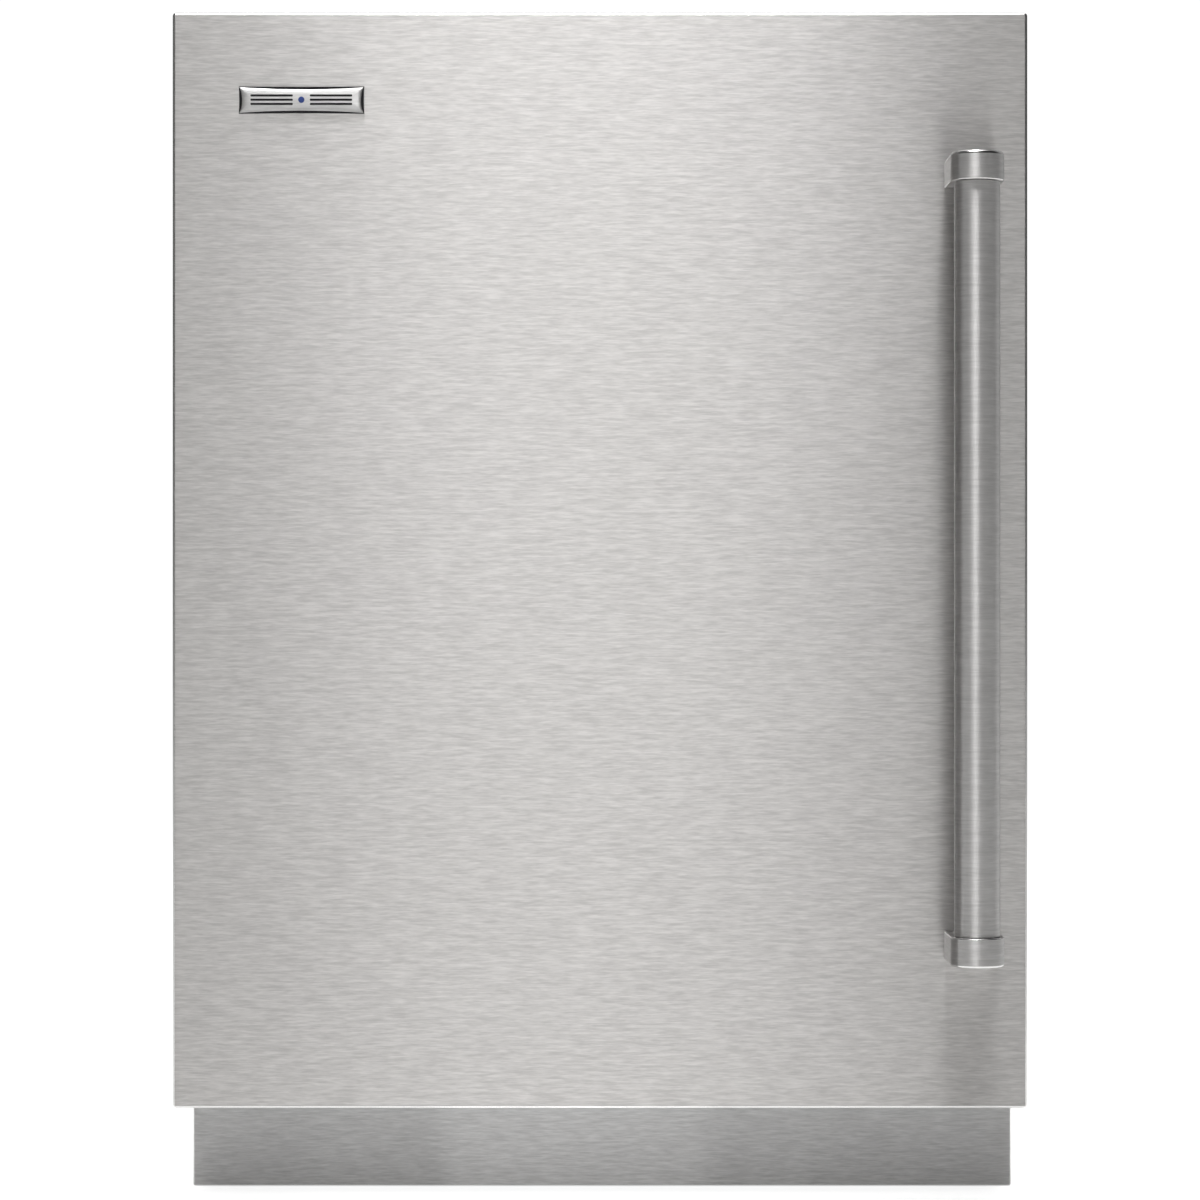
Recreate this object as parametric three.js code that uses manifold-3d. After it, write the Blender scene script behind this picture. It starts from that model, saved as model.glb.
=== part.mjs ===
// Undercounter refrigerator of the 24 inch class, with a solid stainless door hinged on the left.
// Units are millimetres, +Z is up and the front faces -Y. The origin is on the floor, under the
// middle of the footprint. Each mesh is one physical piece; pieces that touch keep a small gap.
import * as THREE from "three";
import { mergeVertices } from "three/addons/utils/BufferGeometryUtils.js";
import Module from "manifold-3d";

const wasm = await Module();
wasm.setup();

// ---- driving dimensions ------------------------------------------------------------------------
const GAP = 0.3; // between pieces that touch
const ROUND = 28; // sides of a round section

const DOOR_WIDTH = 606;
const DOOR_TOP = 854;
const DOOR_BOTTOM = 77.5;
const DOOR_FRONT = -272;
const PANEL_DEPTH = 18; // stainless overlay panel
const PANEL_BACK = DOOR_FRONT + PANEL_DEPTH;
const SKIN = 1.2; // stainless and painted sheet

const INNER_DOOR_X = 297; // half width of the insulated inner door
const INNER_DOOR_BOTTOM = 97;
const INNER_DOOR_TOP = 835;
const INNER_DOOR_BACK = -224;
const DYKE_BACK = -190; // how far the door liner's raised rim reaches into the cabinet
const DYKE_X = 244;
const DYKE_WIDTH = 30;
const DYKE_BOTTOM = 146;
const DYKE_TOP = 790;

const CABINET_FRONT = -214;
const CABINET_BACK = 332;
const CABINET_X = 302; // half width
const CABINET_TOP = 852;
const CABINET_FLOOR = 80; // underside of the insulated box
const BASE_Z = 22; // underside of the base pan
const TOE_Y = -152; // where the toe space ends
const FRAME_DEPTH = 3; // front frame
const PANEL_Y = CABINET_FRONT + FRAME_DEPTH + GAP; // front edge of the cabinet's sheet panels
const SHEET_X = CABINET_X - SKIN; // inner face of a side panel
const BAY_FRONT = 100; // machine bay
const BAY_TOP = 286;

const LINER = 2; // liner thickness
const ROOM_X = 254; // half width of the cold room
const ROOM_BOTTOM = 135;
const ROOM_TOP = 800;
const ROOM_BACK = 274;
const STEP_Y = 58; // the room's rear step over the machine bay
const STEP_Z = 330;

const HINGE_X = -288;
const HINGE_Y = -240;
const PIN_R = 4;
const BUSH_R = 6.5;
const HINGE_ARM_R = 9;
const HINGE_ARM_T = 4;
const HINGE_PLATE_T = 3;

const HANDLE_X = 262.5;
const HANDLE_R = 15.9;
const BRACKET_R = 18.75;
const HANDLE_FRONT = -334;
const HANDLE_Y = HANDLE_FRONT + BRACKET_R;
const HANDLE_TOP = 749.4;
const HANDLE_BOTTOM = 182.9;
const BRACKET_HEIGHT = 20.4;

const FAN_Z = 690; // evaporator fan
const COOLING_X = -175; // condenser fan's middle
const COOLING_Y = 205;
const COOLING_Z = 150;
const COMPRESSOR_X = 150;
const COMPRESSOR_Y = 215;
const COMPRESSOR_TOP = 214;
const LEGS = { front: -115, rear: 300 };
const LEG_X = 270;

// ---- materials ---------------------------------------------------------------------------------
const paint = (color, metalness, roughness, extra = {}) =>
  new THREE.MeshStandardMaterial({ color, metalness, roughness, ...extra });
const STAINLESS = paint(0xc9c8c5, 1, 0.32);
const ZINC = paint(0xa9acae, 1, 0.5);
const ALUMINIUM = paint(0xc4c6c8, 1, 0.38);
const COPPER = paint(0xb36a45, 1, 0.35);
const WHITE_PLASTIC = paint(0xe9eaea, 0, 0.4);
const FOAM = paint(0xe3d3a2, 0, 0.95);
const GASKET = paint(0x8d9092, 0, 0.8);
const BLACK_PLASTIC = paint(0x1d1e20, 0, 0.5);
const BLACK_PAINT = paint(0x17181a, 0.3, 0.45);
const CLEAR_PLASTIC = paint(0xdfe6e8, 0, 0.08, { transparent: true, opacity: 0.35 });
const GLASS = paint(0xd6e6e2, 0, 0.03, { transparent: true, opacity: 0.3 });
const DIFFUSER = paint(0xf4f4f0, 0, 0.6);

// ---- shapes ------------------------------------------------------------------------------------
function block([x0, x1], [y0, y1], [z0, z1]) {
  const box = new THREE.BoxGeometry(x1 - x0, y1 - y0, z1 - z0);
  return box.translate((x0 + x1) / 2, (y0 + y1) / 2, (z0 + z1) / 2);
}

function shapeOf(points) {
  return points instanceof THREE.Shape
    ? points
    : new THREE.Shape(points.map(([u, v]) => new THREE.Vector2(u, v)));
}

function extrude(points, depth) {
  return new THREE.ExtrudeGeometry(shapeOf(points), {
    depth,
    bevelEnabled: false,
    curveSegments: ROUND / 2,
  });
}

// An outline of (y, z) points, extruded along X.
function prismX(points, [x0, x1]) {
  const turn = new THREE.Matrix4().makeBasis(
    new THREE.Vector3(0, 1, 0),
    new THREE.Vector3(0, 0, 1),
    new THREE.Vector3(1, 0, 0),
  );
  return extrude(points, x1 - x0).applyMatrix4(turn).translate(x0, 0, 0);
}

// An outline of (x, z) points, extruded along Y.
function prismY(points, [y0, y1]) {
  return extrude(points, y1 - y0).rotateX(Math.PI / 2).translate(0, y1, 0);
}

// An outline of (x, y) points, extruded along Z.
function prismZ(points, [z0, z1]) {
  return extrude(points, z1 - z0).translate(0, 0, z0);
}

function rodX(radius, [x0, x1], y, z, sides = ROUND) {
  const rod = new THREE.CylinderGeometry(radius, radius, x1 - x0, sides);
  return rod.rotateZ(Math.PI / 2).translate((x0 + x1) / 2, y, z);
}

function rodY(radius, x, [y0, y1], z, sides = ROUND) {
  const rod = new THREE.CylinderGeometry(radius, radius, y1 - y0, sides);
  return rod.translate(x, (y0 + y1) / 2, z);
}

function rodZ(radius, x, y, [z0, z1], sides = ROUND) {
  const rod = new THREE.CylinderGeometry(radius, radius, z1 - z0, sides);
  return rod.rotateX(Math.PI / 2).translate(x, y, (z0 + z1) / 2);
}

// A turned piece about Z, from (radius, z) points that start and end on the axis.
function turnedZ(points, x, y, sides = ROUND) {
  const profile = points.map(([r, z]) => new THREE.Vector2(r, z));
  return new THREE.LatheGeometry(profile, sides).rotateX(Math.PI / 2).translate(x, y, 0);
}

// A round tube along a smooth line through the points.
function tube(points, radius, steps) {
  const path = new THREE.CatmullRomCurve3(points.map((p) => new THREE.Vector3(...p)));
  const section = new THREE.Shape().absarc(0, 0, radius, 0, 2 * Math.PI);
  return new THREE.ExtrudeGeometry(section, { steps, extrudePath: path, curveSegments: 4 });
}

// ---- joining and cutting -----------------------------------------------------------------------
function solidOf(geometry) {
  const bare = geometry.clone();
  bare.deleteAttribute("normal");
  bare.deleteAttribute("uv");
  const merged = mergeVertices(bare, 1e-4);
  const vertProperties = merged.attributes.position.array;
  const triVerts = new Uint32Array(merged.index.array);
  return new wasm.Manifold(new wasm.Mesh({ numProp: 3, vertProperties, triVerts }));
}

function geometryOf(solid) {
  const mesh = solid.getMesh();
  const geometry = new THREE.BufferGeometry();
  geometry.setAttribute("position", new THREE.BufferAttribute(mesh.vertProperties, 3));
  geometry.setIndex(new THREE.BufferAttribute(mesh.triVerts, 1));
  geometry.computeVertexNormals();
  return geometry;
}

const joined = (pieces) => pieces.map(solidOf).reduce((whole, piece) => whole.add(piece));
const join = (...pieces) => geometryOf(joined(pieces));
const cut = (base, tools) => geometryOf(solidOf(base).subtract(joined(tools)));

// ---- the scene graph ---------------------------------------------------------------------------
const refrigerator = new THREE.Group();
const MILLED = { flatShading: true };

function movingGroup(x = 0, y = 0, z = 0) {
  const group = new THREE.Group();
  group.position.set(x, y, z);
  refrigerator.add(group);
  return group;
}

// Adds a piece modelled in the object's frame to a group, whose own place is taken off again.
function add(group, name, geometry, material) {
  const { x, y, z } = group.position;
  const finish = Object.assign(material.clone(), MILLED);
  const mesh = new THREE.Mesh(geometry.translate(-x, -y, -z), finish);
  mesh.name = name;
  group.add(mesh);
}

// ---- cabinet -----------------------------------------------------------------------------------
function sidePanel(side) {
  const outline = [
    [PANEL_Y, CABINET_FLOOR],
    [TOE_Y, CABINET_FLOOR],
    [TOE_Y, BASE_Z],
    [CABINET_BACK, BASE_Z],
    [CABINET_BACK, CABINET_TOP],
    [PANEL_Y, CABINET_TOP],
  ];
  return prismX(outline, side < 0 ? [-CABINET_X, -SHEET_X] : [SHEET_X, CABINET_X]);
}

const INSIDE_X = [-SHEET_X + GAP, SHEET_X - GAP];
const REAR_SHEET = [CABINET_BACK - SKIN, CABINET_BACK];
const SHEET_END = CABINET_BACK - SKIN - GAP;

// One bent sheet: the box's floor, the machine bay's front wall and its ceiling.
function cabinetFloor() {
  const outline = [
    [PANEL_Y, CABINET_FLOOR],
    [BAY_FRONT, CABINET_FLOOR],
    [BAY_FRONT, BAY_TOP - SKIN],
    [SHEET_END, BAY_TOP - SKIN],
    [SHEET_END, BAY_TOP],
    [BAY_FRONT - SKIN, BAY_TOP],
    [BAY_FRONT - SKIN, CABINET_FLOOR + SKIN],
    [PANEL_Y, CABINET_FLOOR + SKIN],
  ];
  return prismX(outline, INSIDE_X);
}

function frontFrame() {
  const plate = block(
    [-CABINET_X, CABINET_X],
    [CABINET_FRONT, CABINET_FRONT + FRAME_DEPTH],
    [CABINET_FLOOR, CABINET_TOP],
  );
  const mouth = block([-ROOM_X, ROOM_X], [CABINET_FRONT - 1, CABINET_BACK], [ROOM_BOTTOM, ROOM_TOP]);
  return cut(plate, [mouth]);
}

// The cold room's profile in (y, z), grown outwards by a margin.
function roomProfile(front, margin) {
  return [
    [front, ROOM_BOTTOM - margin],
    [STEP_Y + margin, ROOM_BOTTOM - margin],
    [STEP_Y + margin, STEP_Z - margin],
    [ROOM_BACK + margin, STEP_Z - margin],
    [ROOM_BACK + margin, ROOM_TOP + margin],
    [front, ROOM_TOP + margin],
  ];
}

const LEDGE = { depth: 10, top: 300, height: 10, y: [-160, 56] };

function liner() {
  const flangeX = ROOM_X + 38;
  const flange = block(
    [-flangeX, flangeX],
    [PANEL_Y, PANEL_Y + LINER],
    [ROOM_BOTTOM - 35, ROOM_TOP + 36],
  );
  const shell = prismX(roomProfile(PANEL_Y, LINER), [-ROOM_X - LINER, ROOM_X + LINER]);
  const room = prismX(roomProfile(PANEL_Y - 10, 0), [-ROOM_X, ROOM_X]);
  const tub = joined([shell, flange]).subtract(solidOf(room));
  const ledges = [-1, 1].map((side) => {
    const x = [ROOM_X - LEDGE.depth, ROOM_X + LINER / 2].map((v) => side * v);
    return block(x.sort((a, b) => a - b), LEDGE.y, [LEDGE.top - LEDGE.height, LEDGE.top]);
  });
  return geometryOf(tub.add(joined(ledges)));
}

function foamInsulation() {
  const front = PANEL_Y + LINER + GAP;
  const bay = BAY_FRONT - SKIN - GAP;
  const outline = [
    [front, CABINET_FLOOR + SKIN + GAP],
    [bay, CABINET_FLOOR + SKIN + GAP],
    [bay, BAY_TOP + GAP],
    [SHEET_END, BAY_TOP + GAP],
    [SHEET_END, CABINET_TOP - SKIN - GAP],
    [front, CABINET_TOP - SKIN - GAP],
  ];
  const hollow = roomProfile(front - 10, LINER + GAP);
  const hollowX = ROOM_X + LINER + GAP;
  return cut(prismX(outline, INSIDE_X), [prismX(hollow, [-hollowX, hollowX])]);
}

const legPlaces = Object.entries(LEGS).flatMap(([end, y]) =>
  [-1, 1].map((side) => ({ name: `leg_${end}_${side < 0 ? "left" : "right"}`, x: side * LEG_X, y })),
);
const LEG_STEM_R = 6;
const PAN = 2; // base pan thickness
const PAN_TOP = BASE_Z + PAN;
const PAN_FLANGE = 45;

function basePan() {
  const y = [TOE_Y + 2, SHEET_END];
  const x = INSIDE_X;
  const tabs = [-200, 200].map((tab) =>
    block([tab - 12, tab + 12], [KICK.front + SKIN + GAP, y[0] + 1], [38, 40]),
  );
  const nuts = legPlaces.map((leg) => rodZ(12, leg.x, leg.y, [PAN_TOP - 1, PAN_TOP + 16], 6));
  const pan = [
    block(x, y, [BASE_Z, PAN_TOP]),
    block(x, [y[0], y[0] + PAN], [BASE_Z, PAN_FLANGE]),
    block([x[0], x[0] + PAN], y, [BASE_Z, PAN_FLANGE]),
    block([x[1] - PAN, x[1]], y, [BASE_Z, PAN_FLANGE]),
  ];
  const holes = legPlaces.map((leg) => rodZ(LEG_STEM_R + 0.6, leg.x, leg.y, [0, 60], 16));
  return geometryOf(joined([...pan, ...tabs, ...nuts]).subtract(joined(holes)));
}

// The kick plate stands 100 mm behind the door's face and a little right of the middle.
const KICK = { front: DOOR_FRONT + 100, x: [-300, 303], z: [6, 72], depth: 12 };

function kickPlate() {
  const y = [KICK.front, KICK.front + KICK.depth];
  const hollowX = [KICK.x[0] + SKIN, KICK.x[1] - SKIN];
  const hollow = block(hollowX, [y[0] + SKIN, y[1] + 5], [KICK.z[0] - 5, KICK.z[1] - SKIN]);
  return cut(block(KICK.x, y, KICK.z), [hollow]);
}

function airGrille() {
  const z = [PAN_FLANGE + GAP, CABINET_FLOOR - GAP];
  const plate = block(INSIDE_X, [TOE_Y, TOE_Y + 2.5], z);
  const slots = [];
  for (let x = -270; x <= 270; x += 30) {
    slots.push(block([x - 10, x + 10], [TOE_Y - 1, TOE_Y + 4], [z[0] + 6, z[1] - 6]));
  }
  return cut(plate, slots);
}

const INLET = { x: 235, z: 60, r: 9 };

function serviceCover() {
  const plate = block(INSIDE_X, REAR_SHEET, [BASE_Z + 4, BAY_TOP + 1.5]);
  const through = [CABINET_BACK - 5, CABINET_BACK + 5];
  const slots = [];
  for (const x of [-180, 0, 180]) {
    for (let z = 100; z <= 250; z += 25) {
      slots.push(block([x - 60, x + 60], through, [z - 4, z + 4]));
    }
  }
  slots.push(rodY(INLET.r + GAP, INLET.x, through, INLET.z));
  return cut(plate, slots);
}

function cordInlet() {
  const flange = rodY(15, INLET.x, [CABINET_BACK + GAP, CABINET_BACK + 2], INLET.z);
  const body = rodY(INLET.r, INLET.x, [CABINET_BACK - 16, CABINET_BACK + 1], INLET.z);
  const bore = rodY(4.5, INLET.x, [CABINET_BACK - 20, CABINET_BACK + 5], INLET.z, 16);
  return geometryOf(joined([flange, body]).subtract(solidOf(bore)));
}

const cabinet = movingGroup();
add(cabinet, "side_panel_left", sidePanel(-1), STAINLESS);
add(cabinet, "side_panel_right", sidePanel(1), STAINLESS);
add(
  cabinet,
  "top_panel",
  block(INSIDE_X, [PANEL_Y, SHEET_END], [CABINET_TOP - SKIN, CABINET_TOP]),
  STAINLESS,
);
add(cabinet, "rear_panel", block(INSIDE_X, REAR_SHEET, [BAY_TOP + 2, CABINET_TOP]), ZINC);
add(cabinet, "cabinet_floor", cabinetFloor(), ZINC);
add(cabinet, "front_frame", frontFrame(), STAINLESS);
add(cabinet, "liner", liner(), WHITE_PLASTIC);
add(cabinet, "foam_insulation", foamInsulation(), FOAM);
add(cabinet, "base_pan", basePan(), ZINC);
add(cabinet, "kick_plate", kickPlate(), STAINLESS);
add(cabinet, "air_grille", airGrille(), BLACK_PLASTIC);
add(cabinet, "service_cover", serviceCover(), ZINC);
add(cabinet, "cord_inlet", cordInlet(), BLACK_PLASTIC);

// ---- fittings of the cold room -----------------------------------------------------------------
const RAIL = { y: [-95, 225], z: [350, 765], first: 365, pitch: 55, levels: 8, reach: 10, t: 2 };
const ledgeTop = (level) => RAIL.first + RAIL.pitch * level;

// A comb seen from the front: a flat strip with a ledge at each shelf height.
function shelfRail(side) {
  const wall = ROOM_X - GAP;
  const face = wall - RAIL.t;
  const tip = wall - RAIL.reach;
  const outline = [[wall, RAIL.z[0]], [wall, RAIL.z[1]], [face, RAIL.z[1]]];
  for (let level = RAIL.levels - 1; level >= 0; level--) {
    const top = ledgeTop(level);
    outline.push([face, top], [tip, top], [tip, top - 4], [face, top - 4]);
  }
  outline.push([face, RAIL.z[0]]);
  return prismY(outline.map(([x, z]) => [side * x, z]), RAIL.y);
}

const SHELF = { x: 249, back: 221.7, front: -110, trim: 10, t: 4 };
const SHELF_LEVELS = { middle: 2, upper: 5 };

function shelfGlass(level) {
  const z = ledgeTop(level) + GAP;
  return block([-SHELF.x, SHELF.x], [SHELF.front + SHELF.trim + GAP, SHELF.back], [z, z + SHELF.t]);
}

function shelfTrim(level) {
  const z = ledgeTop(level);
  return block([-SHELF.x, SHELF.x], [SHELF.front, SHELF.front + SHELF.trim], [z - 4, z + 9]);
}

for (const side of [-1, 1]) {
  const name = side < 0 ? "shelf_rail_left" : "shelf_rail_right";
  add(cabinet, name, shelfRail(side), ALUMINIUM);
}
for (const [name, level] of Object.entries(SHELF_LEVELS)) {
  add(cabinet, `shelf_glass_${name}`, shelfGlass(level), GLASS);
  add(cabinet, `shelf_trim_${name}`, shelfTrim(level), ALUMINIUM);
}
const lidZ = LEDGE.top + GAP;
add(cabinet, "crisper_lid", block([-252, 252], LEDGE.y, [lidZ, lidZ + SHELF.t]), GLASS);

const CRISPER = { x: 222, y: [-160, 54], z: [ROOM_BOTTOM + GAP, 297], wall: 3 };
const GRIP = { x: 195, depth: 6, height: 24 };

function crisperDrawer() {
  const { x, y, z, wall } = CRISPER;
  const grip = block([-GRIP.x, GRIP.x], [y[0] - GRIP.depth, y[0] + 1], [z[1] - GRIP.height, z[1]]);
  const hollow = block([wall - x, x - wall], [y[0] + wall, y[1] - wall], [z[0] + wall, z[1] + 5]);
  return geometryOf(joined([block([-x, x], y, z), grip]).subtract(solidOf(hollow)));
}

const crisper = movingGroup(0, CRISPER.y[0], CRISPER.z[0]);
add(crisper, "crisper_drawer", crisperDrawer(), CLEAR_PLASTIC);

// The control panel hangs from the ceiling just inside the door.
const CONTROL = { x: 130, front: -182, z: 785 };
const BUTTON = { r: 5, depth: 5.4, proud: 1.4, clear: 0.4, travel: 1 };
const BUTTONS = { power_button: -90, colder_button: -55, warmer_button: -25 };
const WINDOW = { x: [15, 105], z: [778, 792], depth: 2 };

function controlPanel() {
  const top = ROOM_TOP - GAP;
  const outline = [
    [CONTROL.front, top],
    [CONTROL.front, 772],
    [CONTROL.front + 5, 768],
    [-120, 776],
    [-120, top],
  ];
  const pocketEnd = CONTROL.front - BUTTON.proud + BUTTON.depth + BUTTON.travel + 1;
  const pockets = Object.values(BUTTONS).map((x) =>
    rodY(BUTTON.r + BUTTON.clear, x, [CONTROL.front - 2, pocketEnd], CONTROL.z),
  );
  const grow = ([low, high]) => [low - GAP, high + GAP];
  const windowY = [CONTROL.front - 2, CONTROL.front + WINDOW.depth + GAP];
  const opening = block(grow(WINDOW.x), windowY, grow(WINDOW.z));
  return cut(prismX(outline, [-CONTROL.x, CONTROL.x]), [...pockets, opening]);
}

add(cabinet, "control_panel", controlPanel(), BLACK_PLASTIC);
add(
  cabinet,
  "display_window",
  block(WINDOW.x, [CONTROL.front - 0.4, CONTROL.front + WINDOW.depth], WINDOW.z),
  BLACK_PLASTIC,
);
for (const [name, x] of Object.entries(BUTTONS)) {
  const front = CONTROL.front - BUTTON.proud;
  const button = movingGroup(x, front, CONTROL.z);
  add(button, name, rodY(BUTTON.r, x, [front, front + BUTTON.depth], CONTROL.z), ALUMINIUM);
}
add(cabinet, "light_lens", block([-170, 170], [-108, -60], [793, ROOM_TOP - GAP]), DIFFUSER);

// ---- evaporator --------------------------------------------------------------------------------
const DUCT = { x: 200, front: 236, z: [345, 790], sheet: 2 };

function evaporatorCover() {
  const y = [DUCT.front, ROOM_BACK - GAP];
  const x = DUCT.x - DUCT.sheet;
  const z = [DUCT.z[0] + DUCT.sheet, DUCT.z[1] - DUCT.sheet];
  const hollow = block([-x, x], [y[0] + DUCT.sheet, y[1] + 5], z);
  const through = [y[0] - 2, y[0] + DUCT.sheet + 2];
  const slots = [];
  for (const slotX of [-150, -90, -30, 30, 90, 150]) {
    for (const slotZ of [362, 376, 765]) {
      slots.push(block([slotX - 24, slotX + 24], through, [slotZ - 3, slotZ + 3]));
    }
  }
  for (let drop = -36; drop <= 36; drop += 12) {
    const half = Math.sqrt(46 ** 2 - drop ** 2);
    slots.push(block([-half, half], through, [FAN_Z + drop - 3, FAN_Z + drop + 3]));
  }
  return cut(block([-DUCT.x, DUCT.x], y, DUCT.z), [hollow, ...slots]);
}

// A bank of flat fins on straight tubes. Fins lie across the axis that the tubes follow.
function finBank(axis, ends, fins, fin, tubes, radius) {
  const rod = axis === "x" ? rodX : (r, along, x, z, sides) => rodY(r, x, along, z, sides);
  const plates = [];
  for (let i = 0; i < fins; i++) {
    const at = ends[0] + 6 + ((ends[1] - ends[0] - 12) * i) / (fins - 1);
    const across = [at - 0.8, at + 0.8];
    plates.push(axis === "x" ? block(across, ...fin) : block(fin[0], across, fin[1]));
  }
  const rods = tubes.map(([u, z]) => rod(radius, ends, u, z, 6));
  return join(...plates, ...rods);
}

const evaporatorTubes = [400, 465, 535, 600].map((z) => [257, z]);
const condenserTubes = [80, 125, 170, 215].map((z) => [-254, z]);

// An axial fan about an axis through its middle: a hub and pitched blades, facing along Y.
function axialFan(hubR, tipR, depth, blades) {
  const pieces = [rodY(hubR, 0, [-depth / 2, depth / 2], 0)];
  for (let i = 0; i < blades; i++) {
    const length = tipR - hubR + 3;
    const blade = new THREE.BoxGeometry(length, 1.6, hubR * 1.5);
    blade.rotateX(0.45).translate(hubR - 3 + length / 2, 0, 0);
    pieces.push(blade.rotateY((i * 2 * Math.PI) / blades));
  }
  return join(...pieces);
}

function evaporatorMotor() {
  const motor = rodY(17, 0, [259, 270], FAN_Z);
  const bridge = block([-70, 70], [268, ROOM_BACK - GAP], [FAN_Z - 7, FAN_Z + 7]);
  return join(motor, bridge);
}

add(cabinet, "evaporator_cover", evaporatorCover(), WHITE_PLASTIC);
add(
  cabinet,
  "evaporator_coil",
  finBank("x", [-175, 175], 10, [[244, 270], [372, 628]], evaporatorTubes, 4),
  ALUMINIUM,
);
add(cabinet, "evaporator_fan_motor", evaporatorMotor(), BLACK_PLASTIC);
const evaporatorFan = movingGroup(0, 251, FAN_Z);
const coldFan = axialFan(13, 42, 12, 5).translate(0, 251, FAN_Z);
add(evaporatorFan, "evaporator_fan", coldFan, BLACK_PLASTIC);

// ---- machine bay -------------------------------------------------------------------------------
function compressor() {
  const dome = [
    [0, 44],
    [58, 44],
    [76, 60],
    [78, 100],
    [78, 150],
    [72, 182],
    [52, 204],
    [24, COMPRESSOR_TOP],
    [0, COMPRESSOR_TOP],
  ];
  const shell = turnedZ(dome, COMPRESSOR_X, COMPRESSOR_Y);
  const terminals = block([COMPRESSOR_X + 60, COMPRESSOR_X + 100], [190, 240], [100, 150]);
  return join(shell, terminals);
}

function compressorFeet() {
  const plate = block([COMPRESSOR_X - 92, COMPRESSOR_X + 92], [150, 280], [39, 43]);
  const corners = [-1, 1].flatMap((sx) => [-1, 1].map((sy) => [sx, sy]));
  const grommets = corners.map(([sx, sy]) =>
    rodZ(10, COMPRESSOR_X + sx * 80, COMPRESSOR_Y + sy * 53, [PAN_TOP + GAP, 47], 12),
  );
  return join(plate, ...grommets);
}

function condenserMotor() {
  const motor = rodX(27, [COOLING_X + 14, COOLING_X + 52], COOLING_Y, COOLING_Z);
  const strap = [COOLING_X + 30, COOLING_X + 34];
  const post = block(strap, [COOLING_Y - 18, COOLING_Y + 18], [PAN_TOP + GAP, COOLING_Z]);
  const foot = block(
    [COOLING_X + 20, COOLING_X + 50],
    [COOLING_Y - 30, COOLING_Y + 30],
    [PAN_TOP + GAP, PAN_TOP + 3],
  );
  return join(motor, post, foot);
}

function refrigerantLine() {
  const route = [
    [COMPRESSOR_X, COMPRESSOR_Y, COMPRESSOR_TOP + GAP],
    [COMPRESSOR_X, COMPRESSOR_Y, 232],
    [COMPRESSOR_X - 8, COMPRESSOR_Y + 30, 252],
    [90, 268, 258],
    [0, 272, 262],
    [-120, 272, 264],
    [-215, 262, 268],
    [-248, 240, 266],
    [-254, 232, 254.5],
  ];
  return tube(route, 4, 30);
}

add(cabinet, "compressor", compressor(), BLACK_PAINT);
add(cabinet, "compressor_feet", compressorFeet(), ZINC);
add(
  cabinet,
  "condenser_coil",
  finBank("y", [112, 276], 10, [[-286, -222], [46, 250]], condenserTubes, 5),
  BLACK_PAINT,
);
add(cabinet, "condenser_fan_motor", condenserMotor(), BLACK_PAINT);
const condenserFan = movingGroup(COOLING_X, COOLING_Y, COOLING_Z);
const warmFan = axialFan(20, 76, 18, 5).rotateZ(Math.PI / 2);
add(
  condenserFan,
  "condenser_fan",
  warmFan.translate(COOLING_X, COOLING_Y, COOLING_Z),
  BLACK_PLASTIC,
);
add(cabinet, "control_box", block([-90, 40], [112, 190], [196, 280]), ZINC);
add(cabinet, "refrigerant_line", refrigerantLine(), COPPER);

// ---- legs --------------------------------------------------------------------------------------
for (const { name, x, y } of legPlaces) {
  const profile = [
    [0, 0],
    [20, 0],
    [20, 5],
    [11, 10],
    [11, 18],
    [LEG_STEM_R, 18],
    [LEG_STEM_R, 74],
    [0, 74],
  ];
  add(movingGroup(x, y, 0), name, turnedZ(profile, x, y, 20), BLACK_PLASTIC);
}

// ---- hinges ------------------------------------------------------------------------------------
// An arm from the cabinet's face to the pivot, with a round nose about the pivot.
function hingeArm(z) {
  const root = CABINET_FRONT - GAP;
  const arm = new THREE.Shape();
  arm.moveTo(HINGE_X - 3, root);
  arm.lineTo(HINGE_X + 26, root);
  arm.lineTo(HINGE_X + HINGE_ARM_R, HINGE_Y);
  arm.absarc(HINGE_X, HINGE_Y, HINGE_ARM_R, 0, -Math.PI, true);
  return prismZ(arm, z);
}

function hingePlate(z) {
  const back = CABINET_FRONT - GAP;
  return block([-300, -226], [back - HINGE_PLATE_T, back], z);
}

const TOP_ARM = [INNER_DOOR_TOP + 3, INNER_DOOR_TOP + 3 + HINGE_ARM_T];
const BOTTOM_ARM = [INNER_DOOR_BOTTOM - 3 - HINGE_ARM_T, INNER_DOOR_BOTTOM - 3];
const PIN_REACH = 17; // how deep each pin goes into the door

function topHingeBracket() {
  const hole = rodZ(PIN_R + GAP, HINGE_X, HINGE_Y, [TOP_ARM[0] - 5, TOP_ARM[1] + 5]);
  const bracket = joined([hingeArm(TOP_ARM), hingePlate([TOP_ARM[0], CABINET_TOP - 1])]);
  return geometryOf(bracket.subtract(solidOf(hole)));
}

function topHingePin() {
  const stem = rodZ(PIN_R, HINGE_X, HINGE_Y, [INNER_DOOR_TOP - PIN_REACH, TOP_ARM[1] + 2]);
  const head = rodZ(6.5, HINGE_X, HINGE_Y, [TOP_ARM[1] + GAP, TOP_ARM[1] + 4], 6);
  return join(stem, head);
}

function bottomHingeBracket() {
  const pin = rodZ(PIN_R, HINGE_X, HINGE_Y, [BOTTOM_ARM[0] + 1, INNER_DOOR_BOTTOM + PIN_REACH]);
  return join(hingeArm(BOTTOM_ARM), hingePlate([CABINET_FLOOR + 1, BOTTOM_ARM[1]]), pin);
}

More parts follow.
